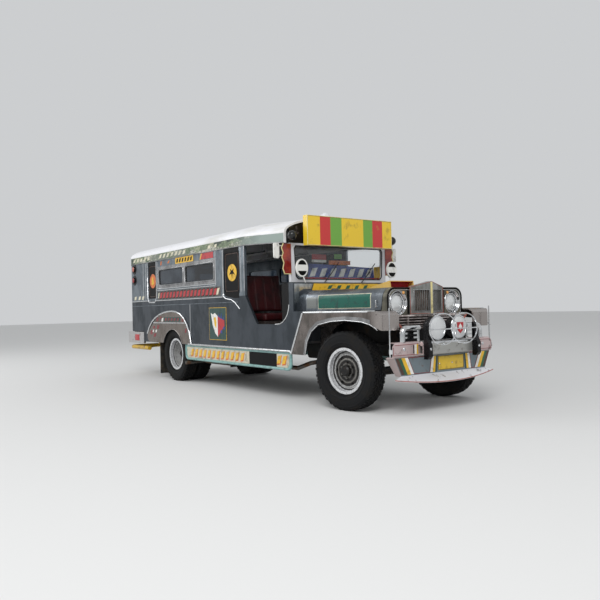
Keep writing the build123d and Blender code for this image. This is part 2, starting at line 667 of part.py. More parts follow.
def wings():
    """Front wings: flat top, side with the wheel opening, slanted rear edge and short front drop."""
    foot, heel = WING_FOOT_X + SEAT_GAP, WING_HEEL_X + SEAT_GAP
    outer = outline((foot, WING_LOW_Z), (heel, WING_TOP_Z), (WING_FRONT - 46, WING_TOP_Z), (WING_FRONT, 912),
                    (WING_FRONT, 770), (500, 798), (441, 824), (330, 850), (90, 865), (-127, 854), (-324, 821),
                    (-439, 751), (-513, 645), (-553, WING_LOW_Z))
    body = from_side(Pos(FRONT_AXLE_X, 0) * outer, WING_INNER, BODY_HALF)
    body = fillet(body.edges().filter_by(Axis.Z).group_by(Axis.X)[-1].sort_by(Axis.Y)[-1], 70)
    inner = outline((foot - 60, 400), (heel + SHEET, WING_TOP_Z - SHEET), (WING_FRONT - 50, WING_TOP_Z - SHEET),
                    (WING_FRONT - 16, 910), (WING_FRONT - SHEET, 400))
    body -= from_side(Pos(FRONT_AXLE_X, 0) * inner, WING_INNER + SHEET, BODY_HALF - SHEET)
    body -= block((ahead(NOSE_X) - MOVING_GAP, ahead(600)), (WING_INNER - 1, NOSE_HALF + SEAT_GAP), (0, 2000))
    body -= block((ahead(-900), ahead(HOOD_REAR)), (WING_INNER - 1, HOOD_REAR_HALF + 18 + NECK_GAP), (0, 2000))
    return pair(body)


def bonnet_swing(radius):
    """Everything within a distance of the bonnet's hinge line."""
    return rod((ahead(HINGE_X), -BODY_HALF, HINGE_Z), (ahead(HINGE_X), BODY_HALF, HINGE_Z), radius)


def nose_outline(inset, low):
    """Front view of the nose, with rounded shoulders, moved in from its edge."""
    half, top = NOSE_HALF - inset, NOSE_TOP_Z - inset
    return bonnet_section(half, top, low, NOSE_CORNER - inset)


def nose_panel():
    """Front panel with rounded shoulders, a lamp bowl on each side and an air opening."""
    panel = from_front(nose_outline(0, NOSE_LOW_Z), ahead(NOSE_X), ahead(NOSE_X) + NOSE_DEPTH)
    edge = from_front(nose_outline(0, WING_TOP_Z + SEAT_GAP) - nose_outline(SHEET, WING_TOP_Z - 1),
                      ahead(NOSE_X) - 60, ahead(NOSE_X) + 1) - bonnet_swing(BONNET_REACH + MOVING_GAP)
    panel += edge & block((ahead(NOSE_X) - 60, ahead(NOSE_X) + 1), (-NOSE_HALF, NOSE_HALF), (0, NOSE_TOP_Z - 30))
    panel -= block((ahead(NOSE_X) - 1, ahead(NOSE_X) + NOSE_DEPTH + 1), (-SHELL_HALF + 30, SHELL_HALF - 30),
                   (NOSE_LOW_Z + 20, NOSE_TOP_Z - 30))
    for side in (-1, 1):
        bowl = Cone(LAMP_RADIUS, LAMP_RADIUS + 26, NOSE_DEPTH - 10)
        panel -= Pos(ahead(NOSE_X) + NOSE_DEPTH / 2 + 5, side * LAMP_HALF, LAMP_Z) * Rot(0, 90, 0) * bowl
    return panel


def headlamps():
    """Round lamps seated in the bowls, with domed glass."""
    radius = LAMP_RADIUS - 4
    lens = turned(Polyline((0, 32), (0, 0), (radius, 0), (radius, 14)), dome(radius, 14, 18))
    return pair(Pos(ahead(NOSE_X) + 10, LAMP_HALF, LAMP_Z) * Rot(0, 0, -90) * lens)


def shell_plan(inset):
    """Plan of the V-shaped radiator shell."""
    half = SHELL_HALF - inset
    ridge = SHELL_RIDGE - inset
    front = 400 - inset
    back = NOSE_X + NOSE_DEPTH if inset == 0 else NOSE_X + NOSE_DEPTH - 10
    return outline((ahead(back), -half), (ahead(front), -half), (ahead(ridge), 0), (ahead(front), half),
                   (ahead(back), half))


def grille_shell():
    """V-shaped radiator shell with a peaked top, a centre ridge and two barred openings."""
    front = outline((-SHELL_HALF, NOSE_LOW_Z), (SHELL_HALF, NOSE_LOW_Z), (SHELL_HALF, SHELL_SHOULDER_Z),
                    (0, SHELL_PEAK_Z), (-SHELL_HALF, SHELL_SHOULDER_Z))
    low_front = outline((-SHELL_HALF + 14, NOSE_LOW_Z - 1), (SHELL_HALF - 14, NOSE_LOW_Z - 1),
                        (SHELL_HALF - 14, SHELL_SHOULDER_Z - 16), (0, SHELL_PEAK_Z - 16),
                        (14 - SHELL_HALF, SHELL_SHOULDER_Z - 16))
    shell = from_above(shell_plan(0), NOSE_LOW_Z, SHELL_PEAK_Z) & from_front(front, ahead(NOSE_X), ahead(500))
    core = from_above(shell_plan(14), NOSE_LOW_Z - 1, SHELL_PEAK_Z) & from_front(low_front, ahead(NOSE_X), ahead(500))
    shell -= core
    opening = block((ahead(390), ahead(500)), (24, 190), (NOSE_LOW_Z + 38, 1140))
    shell -= opening
    shell -= mirrored(opening)
    for index in range(8):
        y = 36 + index * 20
        face = ahead(SHELL_RIDGE) - (SHELL_RIDGE - 400) * y / SHELL_HALF
        bar = block((face - 12, face - 4), (y - 2, y + 2), (NOSE_LOW_Z + 34, 1144))
        shell += bar
        shell += mirrored(bar)
    return shell


def radiator():
    """Radiator core behind the grille."""
    return block((ahead(NOSE_X) - 70, ahead(NOSE_X) - 8), (-215, 215), (640, 1120)) \
        + block((ahead(NOSE_X) - 60, ahead(NOSE_X) - 20), (-RAIL_HALF - 20, RAIL_HALF + 20),
                (RAIL_TOP_FRAME_Z + SEAT_GAP, 650))


def lower_grille():
    """Trapezium of slats under the radiator shell, with painted edges."""
    outer = outline((-524, 898), (524, 898), (400, 770), (-400, 770))
    inner = outline((-496, 884), (496, 884), (390, 782), (-390, 782))
    frame = from_front(outer - inner, ahead(430), ahead(450))
    for z, half in ((868, 486), (842, 458), (816, 430), (794, 406)):
        frame += block((ahead(432), ahead(446)), (-half, half), (z - 4, z + 4))
    for y in (-300, 0, 300):
        frame += block((ahead(418), ahead(434)), (y - 8, y + 8), (775, 894))
    ledge = from_above(outline((ahead(NOSE_X), -500), (ahead(450), -500), (ahead(450), 500), (ahead(NOSE_X), 500)),
                       NOSE_LOW_Z - 12, NOSE_LOW_Z)
    return frame + ledge


def bonnet_section(half, top, low, corner):
    """Arched cross-section of the bonnet."""
    shape = outline((-half, low), (half, low), (half, top), (-half, top))
    return fillet(shape.vertices().sort_by(Axis.Y)[-2:], corner)


def bonnet():
    """Bonnet with deep sides, a scoop and side catches, hinged at the cowl."""
    rear_plane = Plane(origin=(ahead(HOOD_REAR), 0, 0), x_dir=(0, 1, 0), z_dir=(1, 0, 0))
    front_x = ahead(NOSE_X) - MOVING_GAP
    front_plane = Plane(origin=(front_x, 0, 0), x_dir=(0, 1, 0), z_dir=(1, 0, 0))
    outer = loft([rear_plane * bonnet_section(HOOD_REAR_HALF, HOOD_REAR_Z, HOOD_LOW_Z, HOOD_CORNER),
                  front_plane * bonnet_section(NOSE_HALF, NOSE_TOP_Z, HOOD_LOW_Z, NOSE_CORNER)])
    cut = HOOD_THICK
    inner = loft([Pos(-1, 0, 0) * rear_plane * bonnet_section(HOOD_REAR_HALF - cut, HOOD_REAR_Z - cut,
                                                              HOOD_LOW_Z - 1, HOOD_CORNER - cut),
                  Pos(1, 0, 0) * front_plane * bonnet_section(NOSE_HALF - cut, NOSE_TOP_Z - cut,
                                                              HOOD_LOW_Z - 1, NOSE_CORNER - cut)])
    shell = (outer - inner) & bonnet_swing(BONNET_REACH)
    scoop = from_side(Pos(FRONT_AXLE_X, 0) * outline((-330, 1160), (-200, 1196), (60, 1247), (75, 1158),
                                                     (-330, 1156)), -172, 172)
    mouth = from_side(Pos(FRONT_AXLE_X, 0) * outline((-10, 1182), (10, 1230), (90, 1242), (90, 1180)), -158, 158)
    leaf = (Pos(HINGE_X, HINGE_Z) * Circle(HINGE_BARREL)
            + outline((HINGE_X, HINGE_Z + HINGE_BARREL), (HINGE_X, HINGE_Z - HINGE_BARREL + 1),
                      (HOOD_REAR + 1, HINGE_Z - HINGE_BARREL + 1), (HOOD_REAR + 1, HOOD_REAR_Z - 8),
                      (HOOD_REAR + 44, HOOD_REAR_Z - 10), (HOOD_REAR + 44, HOOD_REAR_Z + 1))
            - Pos(HINGE_X, HINGE_Z) * Circle(HINGE_PIN + HINGE_GAP))
    leaf = from_side(Pos(FRONT_AXLE_X, 0) * leaf, -HINGE_LENGTH / 2, HINGE_LENGTH / 2)
    leaves = Pos(0, HINGE_HALF, 0) * leaf + Pos(0, -HINGE_HALF, 0) * leaf
    return shell + (scoop - inner) - mouth + leaves


def bumper_bar():
    """Channel bumper, bevelled at the ends."""
    back = BUMPER_FACE - BUMPER_DEPTH
    section = outline((back, BUMPER_LOW_Z), (BUMPER_FACE - 12, BUMPER_LOW_Z), (BUMPER_FACE, BUMPER_LOW_Z + 22),
                      (BUMPER_FACE, BUMPER_TOP_Z - 22), (BUMPER_FACE - 12, BUMPER_TOP_Z), (back, BUMPER_TOP_Z),
                      (back, BUMPER_TOP_Z - BUMPER_WALL), (BUMPER_FACE - 16, BUMPER_TOP_Z - BUMPER_WALL),
                      (BUMPER_FACE - BUMPER_WALL, BUMPER_TOP_Z - 24), (BUMPER_FACE - BUMPER_WALL, BUMPER_LOW_Z + 24),
                      (BUMPER_FACE - 16, BUMPER_LOW_Z + BUMPER_WALL), (back, BUMPER_LOW_Z + BUMPER_WALL))
    bar = from_side(Pos(FRONT_AXLE_X, 0) * section, -BUMPER_HALF, BUMPER_HALF)
    for side in (-1, 1):
        ends = sorted((side * (BUMPER_HALF - 40), side * (BUMPER_HALF + 10)))
        bevel = outline((ends[0], BUMPER_TOP_Z + 1), (ends[1], BUMPER_TOP_Z + 1),
                        (side * (BUMPER_HALF + 10), BUMPER_TOP_Z - 40))
        bar -= from_front(bevel, ahead(back) - 1, ahead(BUMPER_FACE) + 1)
    for side in (-1, 1):
        low, high = sorted((side * (RAIL_HALF - 30), side * (RAIL_HALF + 30)))
        bar += block((ahead(FRAME_FRONT), ahead(BUMPER_FACE) - 4), (low, high), (BUMPER_LOW_Z + 10, 606))
    return bar + bumper_channel()


def bumper_channel():
    """The deeper middle of the bumper, between the uprights, with a round tube along its top."""
    low, high = BUMPER_LOW_Z + 22, BUMPER_TOP_Z - 22
    y = (-CHANNEL_HALF, CHANNEL_HALF)
    channel = block((ahead(BUMPER_FACE) - 1, ahead(CHANNEL_FACE)), y, (low, high))
    channel -= block((ahead(BUMPER_FACE) - 2, ahead(CHANNEL_FACE) - BUMPER_WALL), y,
                     (low + BUMPER_WALL, high - BUMPER_WALL))
    x = ahead(CHANNEL_FACE) - 20
    return channel + rod((x, y[0], high), (x, y[1], high), 19)


def valance():
    """Tapered apron under the bumper with a bowed lip."""
    front = BUMPER_FACE - 6
    top = BUMPER_LOW_Z
    low = VALANCE_LOW_Z
    upper = Plane.XY.offset(top) * outline((ahead(490), -663), (ahead(front), -663),
                                           (ahead(front), 663), (ahead(490), 663))
    lower = Plane.XY.offset(low) * outline((ahead(530), -580), (ahead(front), -580),
                                           (ahead(front), 580), (ahead(530), 580))
    apron = loft([lower, upper])
    upper_in = Plane.XY.offset(top + 1) * outline((ahead(470), -653), (ahead(front - 10), -653),
                                                   (ahead(front - 10), 653), (ahead(470), 653))
    lower_in = Plane.XY.offset(low - 1) * outline((ahead(470), -570), (ahead(front - 10), -570),
                                                   (ahead(front - 10), 570), (ahead(470), 570))
    apron -= loft([lower_in, upper_in])
    for y in (-PLATE_HOLES / 2, PLATE_HOLES / 2):
        apron -= Pos(ahead(front), y, PLATE_Z) * Rot(0, 90, 0) * Cylinder(4, 60)
    plan = make_face(Line((0, -590), (40, -690)) + ThreePointArc((40, -690), (118, 0), (40, 690))
                     + Line((40, 690), (0, 590)) + Line((0, 590), (0, -590)))
    lip = Pos(ahead(front - 10), 0, low + 6) * Rot(0, 40, 0) * extrude(plan, -10)
    return apron + lip


def overriders():
    """Tall tapered uprights bolted to the bumper face."""
    shape = Pos(CHANNEL_FACE, 0) * outline((0, 498), (42, 498), (64, 525), (64, 628), (34, 686),
                                           (28, 800), (12, 822), (0, 818))
    half = OVERRIDER_WIDTH / 2
    plate = from_side(Pos(FRONT_AXLE_X, 0) * shape, OVERRIDER_HALF - half, OVERRIDER_HALF + half)
    return pair(Pos(SEAT_GAP, 0, 0) * plate)


def bumper_guards():
    """Polished tubes that rise from the bumper ends to the uprights, with two slats inside."""
    x = ahead(590)
    inner_end = OVERRIDER_HALF - 10
    path = [(x, GUARD_HALF, BUMPER_TOP_Z), (x, GUARD_HALF, GUARD_TOP_Z), (x, inner_end, GUARD_TOP_Z)]
    guard = tube(path, 50, GUARD_RADIUS)
    for z in (698, 737):
        guard += block((x - 6, x + 6), (inner_end, GUARD_HALF), (z - 8, z + 8))
    guard += rod((x, inner_end + 8, BUMPER_TOP_Z), (x, inner_end + 8, GUARD_TOP_Z), 14)
    return pair(solids(guard, marker_rod()))


def driving_lamps():
    """Two big round lamps on posts over the middle of the bumper."""
    radius = DRIVING_LAMP_RADIUS
    drum = turned(Polyline((0, 78), (0, -70), (40, -70)), ThreePointArc((40, -70), (88, -42), (radius, 0)),
                  Line((radius, 0), (radius, 60)), dome(radius, 60, 18))
    lamp = Pos(ahead(598), DRIVING_LAMP_HALF, DRIVING_LAMP_Z) * Rot(0, 0, -90) * drum
    return pair(lamp + rod((ahead(590), DRIVING_LAMP_HALF, BUMPER_TOP_Z),
                           (ahead(590), DRIVING_LAMP_HALF, DRIVING_LAMP_Z - 60), 16))


def lamp_hoops():
    """Oval wire hoops in front of the lamps, crossed in the middle, with a cross wire and stays."""
    wire = 6
    x, y, z = ahead(HOOP_X), DRIVING_LAMP_HALF, HOOP_Z
    front = Plane(origin=(x, y, z), x_dir=(0, 1, 0), z_dir=(1, 0, 0))
    path = front * Edge.make_ellipse(HOOP_HALF, HOOP_RISE)
    hoop = sweep(Plane(origin=path @ 0, z_dir=path % 0) * RegularPolygon(wire, 8), path=path)
    hoop += rod((x, 0, z), (x, y + HOOP_HALF, z), wire)
    for foot in (-40, 40):
        low = z - HOOP_RISE * sqrt(1 - (foot / HOOP_HALF) ** 2)
        hoop += rod((x, y + foot, low), (ahead(CHANNEL_FACE) + SEAT_GAP, y + foot, low), wire)
    top = z + HOOP_RISE
    stay = ahead(625)
    hoop += rod((x, y, top), (stay, y, top), wire)
    hoop += rod((stay, y, top + wire), (stay, y, DRIVING_LAMP_Z + DRIVING_LAMP_RADIUS + SEAT_GAP), wire)
    return hoop + mirrored(hoop)


def marker_rod():
    """Thin upright rod at the bumper's end that shows the driver its corner."""
    y = BUMPER_HALF + 10
    stem = rod((ahead(590), y, BUMPER_LOW_Z + 10), (ahead(590), y, 972), 6)
    return stem + block((ahead(582), ahead(BUMPER_FACE) - 1), (BUMPER_HALF, y + 4), (560, 600))


# Signs, lamps and mirrors on the cab
def sign_board():
    """Blank lit sign box over the screen, on two brackets."""
    board = block((ahead(-770), ahead(-700)), (-620, 620), (1662, 1984))
    for y in (-420, 420):
        board += block((ahead(SCREEN_X) + SCREEN_DEPTH, ahead(-765)), (y - 15, y + 15), (1690, 1712))
    return board


def roof_lamps():
    """A round lamp beside each end of the sign and a dome lamp on the roof behind it."""
    start = ahead(SCREEN_X) + SCREEN_DEPTH + SEAT_GAP
    lamp = Pos(ahead(-815), 735, 1772) * Sphere(52) + rod((start, 700, 1772), (ahead(-815), 700, 1772), 10)
    dome_lamp = Pos(ahead(-960), -166, 2008) * Sphere(62) - along_roof(roof_section(0, 0), ROOF_FRONT)
    return solids(pair(lamp), dome_lamp)


def mirrors():
    """Oval mirrors on the scuttle and a long mirror beside each pillar."""
    x = ahead(SCUTTLE_FRONT) - 20
    oval = from_front(Pos(662, 1420) * Ellipse(77, 97), x - 10, x + 10)
    oval += rod((x, 615, SCREEN_LOW_Z + SEAT_GAP), (x, 655, 1350), 7)
    x = ahead(SCREEN_X) + 14
    back = from_front(fillet(outline((835, 1530), (905, 1530), (905, 1695), (835, 1695)).vertices(), 20),
                      x - 8, x + 8)
    for z in (1560, 1665):
        back += rod((x, SCREEN_HALF - 30, z), (x, 845, z), 6)
    return pair(solids(oval - cowl(), back - screen_frame()))


def wind_wings():
    """Tinted wind deflectors with a wavy edge, held to the pillars."""
    points = [(700, 1362), (790, 1362), (812, 1420), (796, 1480), (822, 1540), (804, 1590), (826, 1640),
              (800, 1690), (700, 1690)]
    front = ahead(SCREEN_X) + SCREEN_DEPTH
    return pair(from_front(outline(*points), front + SEAT_GAP, front + SEAT_GAP + 8))


# Sides, sills and rear
def sill_boards():
    """Boards hung under the sills, each inside a bent tube."""
    y = BODY_HALF - 16
    corners = outline((-3290, 345), (-830, 345), (-830, SILL_Z), (-3290, SILL_Z))
    shape = fillet(corners.vertices().sort_by(Axis.Y)[:2], 50)
    board = from_side(Pos(FRONT_AXLE_X, 0) * shape, y - 6, y + 6)
    path = [(ahead(-3300), y, SILL_Z), (ahead(-3300), y, 338), (ahead(-820), y, 338), (ahead(-820), y, SILL_Z)]
    return pair(board + tube(path, 60, 15))


def arch_panels():
    """Bright pressed panels round the rear wheel openings."""
    shape = make_face(Line((-3105, SILL_Z + 4), (-4470, SILL_Z + 4))
                      + ThreePointArc((-4470, SILL_Z + 4), (-4545, 560), (-4580, 640))
                      + ThreePointArc((-4580, 640), (-4210, 900), (-3690, 992))
                      + ThreePointArc((-3690, 992), (-3260, 830), (-3105, SILL_Z + 4)))
    shape -= Pos(-WHEELBASE, AXLE_Z) * Circle(ARCH_OPENING)
    return pair(from_side(Pos(FRONT_AXLE_X, 0) * shape, BODY_HALF, BODY_HALF + 9))


def rear_bumper():
    """Box bumper across the back that wraps round both corners."""
    low, high = 500, 676
    bar = block((ahead(-5370), ahead(-5250)), (-BODY_HALF, BODY_HALF), (low, high))
    bar -= block((ahead(-5360), ahead(-5249)), (-BODY_HALF + 10, BODY_HALF - 10), (low + 10, high - 10))
    cheek = block((ahead(-5251), ahead(-4745)), (BODY_HALF - 30, BODY_HALF), (low, high))
    bar += cheek
    bar += mirrored(cheek)
    for side in (-1, 1):
        near, far = sorted((side * (RAIL_HALF - 25), side * (RAIL_HALF + 25)))
        bar += block((ahead(-5362), ahead(FRAME_END)), (near, far), (520, 600))
    return solids(bar, rear_step())


def rear_step():
    """Step tube round the back, hung from the frame."""
    y, z = BODY_HALF - 37, 432
    path = [(ahead(-4610), y, z), (ahead(-5335), y, z), (ahead(-5335), -y, z), (ahead(-4610), -y, z)]
    step = tube(path, 90, 32)
    for side in (-1, 1):
        rail_y = side * RAIL_HALF
        step += rod((ahead(-5335), rail_y, z), (ahead(-5200), rail_y, RAIL_BOTTOM_Z), 12)
        step += rod((ahead(-4690), side * y, z), (ahead(-4690), side * (RAIL_HALF + 20), RAIL_BOTTOM_Z + 6), 12)
    reach = RAIL_HALF + RAIL_WIDTH / 2
    step -= block((ahead(FRAME_END), ahead(-4600)), (-reach, reach), (RAIL_BOTTOM_Z, RAIL_TOP_FRAME_Z))
    notch = TOW_PLATE / 2 + SEAT_GAP
    return step - block((ahead(-5400), ahead(-5250)), (-notch, notch), (TOW_LOW_Z - SEAT_GAP, 500))


def tail_lamps():
    """Two round lamps, one over the other, near the rear corner of each side."""
    stack = [Pos(ahead(-5090), BODY_HALF + 9, z) * Rot(90, 0, 0) * Cylinder(48, 18) for z in (1670, 1493)]
    return pair(solids(*stack))


def mud_flaps():
    """Rubber flaps behind the rear wheels."""
    return pair(block((ahead(-4215), ahead(-4205)), (430, BODY_HALF - WALL - 2), (70, FLOOR_Z - FLOOR_THICK)))


def spare_wheel():
    """Spare tyre on its rim, slung flat under the tail."""
    middle = (CROSSMEMBERS[-1] + CROSSMEMBERS[-2]) / 2
    lying = Pos(ahead(middle), 0, SPARE_Z) * Rot(90, 0, 0)
    return lying * (tyre() + rim(DISC_OUTSET))


# Inside
BENCH = dict(rear=-4950, front=-2000, edge=385, top=1060, thick=75)


def bench_frames():
    """Box over each pair of rear wheels, with the kick boards and ends that carry the benches."""
    rear, front = ahead(BENCH["rear"]), ahead(BENCH["front"])
    inside = BODY_HALF - WALL
    heights = (FLOOR_Z + SEAT_GAP, BENCH["top"] - BENCH["thick"] - SEAT_GAP)
    near = BENCH["edge"] + 15
    frame = block((rear, front), (near, near + 15), heights)
    for x in (rear, front - 15):
        frame += block((x, x + 15), (near, inside), heights)
    wheels = (REAR_AXLE_X + WHEEL_BOX["rear"], REAR_AXLE_X + WHEEL_BOX["front"])
    frame += block((wheels[0] - SHEET, wheels[1] + SHEET), (WHEEL_BOX["inner"] - SHEET, inside),
                   (FLOOR_Z - FLOOR_THICK, WHEEL_BOX["top"]))
    return pair(frame - block(wheels, (WHEEL_BOX["inner"], inside + 1), (0, WHEEL_BOX["top"] - SHEET)))


def benches():
    """Long side benches: a cushion and a back pad on each side."""
    rear, front = ahead(BENCH["rear"]), ahead(BENCH["front"])
    inside = BODY_HALF - WALL - SEAT_GAP
    low = BENCH["top"] - BENCH["thick"]
    seat = outline((BENCH["edge"], low), (inside, low), (inside, BENCH["top"]), (BENCH["edge"], BENCH["top"]))
    back = outline((inside - 55, 1100), (inside, 1100), (inside, 1370), (inside - 40, 1370))
    return pair(solids(*(from_front(fillet(shape.vertices(), 14), rear, front) for shape in (seat, back))))


def front_seats():
    """Driver's and passenger's seat, each a cushion and a back on a box."""
    seats = []
    low, top = 850, 940
    for inner, outer in ((170, 700), (-700, -170)):
        base = block((ahead(-1850), ahead(-1460)), (inner + 20, outer - 20), (FLOOR_Z, low))
        cushion = fillet(block((ahead(-1900), ahead(-1430)), (inner, outer), (low, top)).edges(), 25)
        shape = fillet(outline((-1900, top - 30), (-1790, top - 30), (-1870, 1420), (-1950, 1420)).vertices(), 25)
        seats.append(base + cushion + from_side(Pos(FRONT_AXLE_X, 0) * shape, inner, outer))
    return solids(*seats)


def handrails():
    """Rails under the roof for standing passengers."""
    y, z, post = 350, 1710, 7
    inset = ROOF_SKIN + SEAT_GAP
    top = RAIL_TOP_Z + (ROOF_RISE - inset) * sqrt(1 - ((y + post) / (ROOF_HALF - inset)) ** 2)
    rails = rod((ahead(-4950), y, z), (ahead(-1950), y, z), 13)
    for x in (-4900, -3925, -2950, -2000):
        rails += rod((ahead(x), y, z), (ahead(x), y, top), post)
    return pair(rails)


def steering_column():
    """Column from the firewall to the steering wheel."""
    x, y, z = WHEEL_HUB
    lean = radians(COLUMN_TILT)
    radius = 22
    firewall = HOOD_REAR - MOVING_GAP - 25
    reach = (firewall - x - radius * sin(lean) - SEAT_GAP) / cos(lean)
    start, end = 27, reach
    return rod((ahead(x) + start * cos(lean), y, z - start * sin(lean)),
               (ahead(x) + end * cos(lean), y, z - end * sin(lean)), radius)


def steering_wheel():
    """Three-spoke wheel at the top of the column."""
    x, y, z = WHEEL_HUB
    wheel = Torus(200, 13) + Pos(0, 0, -12) * Cylinder(38, 28)
    for turn in (90, 210, 330):
        wheel += Rot(0, 0, turn) * rod((30, 0, -8), (198, 0, 0), 9)
    return Pos(ahead(x), y, z) * Rot(0, -(90 - COLUMN_TILT), 0) * Rot(0, 0, 90) * wheel


WHEELS = {
    "tyre_front_right": front_wheel_place(-1) * tyre(),
    "tyre_front_left": front_wheel_place(1) * tyre(),
    "rim_front_right": front_wheel_place(-1) * (rim(DISC_OUTSET) + front_hub()),
    "rim_front_left": front_wheel_place(1) * (rim(DISC_OUTSET) + front_hub()),
    "tyres_rear_right": solids(rear_wheel_place(-1, 0) * tyre(), rear_wheel_place(-1, 1) * tyre()),
    "tyres_rear_left": solids(rear_wheel_place(1, 0) * tyre(), rear_wheel_place(1, 1) * tyre()),
    "rims_rear_right": rear_rims(-1),
    "rims_rear_left": rear_rims(1),
}

NODES = {
    "frame_rails": frame_rails,
    "crossmembers": crossmembers,
    "engine_block": engine_block,
    "driveline": driveline,
    "fuel_tank": fuel_tank,
    "exhaust": exhaust,
    "leaf_springs": leaf_springs,
    "front_axle": front_axle,
    "rear_axle": rear_axle,
    "radiator": radiator,
    "cabin_floor": cabin_floor,
    "bench_frames": bench_frames,
    "body_sides": body_sides,
    "window_sides": window_sides,
    "quarter_panels": quarter_panels,
    "roof": roof,
    "rear_wall": rear_wall,
    "cowl": cowl,
    "dashboard": dashboard,
    "screen_frame": screen_frame,
    "screen_glass": screen_glass,
    "wings": wings,
    "nose_panel": nose_panel,
    "headlamps": headlamps,
    "grille_shell": grille_shell,
    "lower_grille": lower_grille,
    "bonnet": bonnet,
    "bumper_bar": bumper_bar,
    "valance": valance,
    "overriders": overriders,
    "bumper_guards": bumper_guards,
    "driving_lamps": driving_lamps,
    "lamp_hoops": lamp_hoops,
    "sign_board": sign_board,
    "roof_lamps": roof_lamps,
    "mirrors": mirrors,
    "wind_wings": wind_wings,
    "sill_boards": sill_boards,
    "arch_panels": arch_panels,
    "rear_bumper": rear_bumper,
    "tail_lamps": tail_lamps,
    "mud_flaps": mud_flaps,
    "spare_wheel": spare_wheel,
    "benches": benches,
    "front_seats": front_seats,
    "handrails": handrails,
    "steering_column": steering_column,
    "steering_wheel": steering_wheel,
    "knuckle_right": lambda: knuckle(-1),
    "knuckle_left": lambda: knuckle(1),
    "tie_rod": tie_rod,
}

os.makedirs("parts", exist_ok=True)
for name, make in NODES.items():
    export_step(make(), f"parts/{name}.step")
for name, wheel in WHEELS.items():
    export_step(wheel, f"parts/{name}.step")
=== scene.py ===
from math import cos, pi, radians, sin, sqrt

import bmesh
import bpy
from mathutils import Matrix, Vector


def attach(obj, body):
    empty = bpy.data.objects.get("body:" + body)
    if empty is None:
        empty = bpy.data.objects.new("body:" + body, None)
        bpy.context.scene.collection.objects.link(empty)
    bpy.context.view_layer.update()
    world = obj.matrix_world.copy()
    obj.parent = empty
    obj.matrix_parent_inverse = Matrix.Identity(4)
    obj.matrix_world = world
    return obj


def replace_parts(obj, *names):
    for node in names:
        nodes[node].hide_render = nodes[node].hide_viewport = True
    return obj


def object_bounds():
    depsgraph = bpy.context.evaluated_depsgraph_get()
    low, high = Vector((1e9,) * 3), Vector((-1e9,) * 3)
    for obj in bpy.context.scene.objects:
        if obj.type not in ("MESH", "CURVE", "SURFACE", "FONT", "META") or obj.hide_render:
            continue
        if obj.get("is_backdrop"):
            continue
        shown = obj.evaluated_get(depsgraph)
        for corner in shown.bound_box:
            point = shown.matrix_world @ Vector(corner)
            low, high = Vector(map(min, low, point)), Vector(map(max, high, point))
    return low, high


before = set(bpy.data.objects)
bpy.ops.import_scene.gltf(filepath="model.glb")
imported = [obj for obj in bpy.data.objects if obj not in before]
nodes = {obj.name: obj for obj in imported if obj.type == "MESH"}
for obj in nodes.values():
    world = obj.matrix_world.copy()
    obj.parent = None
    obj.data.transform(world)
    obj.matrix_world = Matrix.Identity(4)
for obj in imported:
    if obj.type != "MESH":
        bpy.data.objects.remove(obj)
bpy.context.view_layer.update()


# Frame and running gear
# The ladder frame, springs and axles are hot-rolled steel under satin black chassis paint.
# Road dust settles on them, so the black goes brown on top and along edges.
FRONT_AXLE = 2.334


def ahead(distance):
    """X of a place given ahead of the front axle, in metres."""
    return FRONT_AXLE + distance


def linear(hex_colour):
    """An sRGB hex colour as linear red, green, blue and an alpha of 1."""
    channels = [int(hex_colour[i:i + 2], 16) / 255 for i in (1, 3, 5)]
    return [c / 12.92 if c <= 0.04045 else ((c + 0.055) / 1.055) ** 2.4 for c in channels] + [1.0]


def add_node(tree, kind, inputs=None, **settings):
    """One shader node with its settings, its values and its links."""
    node = tree.nodes.new(kind)
    for name, value in settings.items():
        setattr(node, name, value)
    for socket, value in (inputs or {}).items():
        if isinstance(value, bpy.types.NodeSocket):
            tree.links.new(value, node.inputs[socket])
        else:
            node.inputs[socket].default_value = value
    return node


def new_material(name, colour, slot=None, metallic=0.0, roughness=0.5, coat=0.0, specular=0.5):
    """A named material with one Principled shader. Returns the material, its tree and the shader."""
    material = bpy.data.materials.new(name)
    material.use_nodes = True
    tree = material.node_tree
    shader = tree.nodes["Principled BSDF"]
    for socket, value in (("Base Color", linear(colour)), ("Metallic", metallic), ("Roughness", roughness),
                          ("Coat Weight", coat), ("Specular IOR Level", specular)):
        shader.inputs[socket].default_value = value
    return material, tree, shader


def object_space(tree, **mapping):
    """A place in the object's own frame, which a mapping can move, turn or stretch."""
    place = add_node(tree, "ShaderNodeTexCoord").outputs["Object"]
    return add_node(tree, "ShaderNodeMapping", {"Vector": place, **mapping}).outputs[0] if mapping else place


def remap(tree, value, low, high, first=0.0, last=1.0):
    """A value moved from one span to another."""
    return add_node(tree, "ShaderNodeMapRange", {"Value": value, "From Min": low, "From Max": high,
                                                 "To Min": first, "To Max": last}).outputs[0]


def blend(tree, factor, *colours):
    """Two colours mixed by a factor. Each is an output or sRGB text."""
    one, two = [linear(colour) if isinstance(colour, str) else colour for colour in colours]
    return add_node(tree, "ShaderNodeMixRGB", {"Fac": factor, "Color1": one, "Color2": two}).outputs[0]


def relief(tree, shader, height, strength, distance, invert=False):
    """Shallow relief that follows a height, over a distance in metres."""
    bump = add_node(tree, "ShaderNodeBump", {"Height": height, "Strength": strength, "Distance": distance},
                    invert=invert)
    tree.links.new(bump.outputs[0], shader.inputs["Normal"])


def noise_of(tree, place, scale, detail, rough=0.5):
    """Cloudy noise between 0 and 1."""
    return add_node(tree, "ShaderNodeTexNoise", {"Vector": place, "Scale": scale, "Detail": detail,
                                                 "Roughness": rough}).outputs[0]


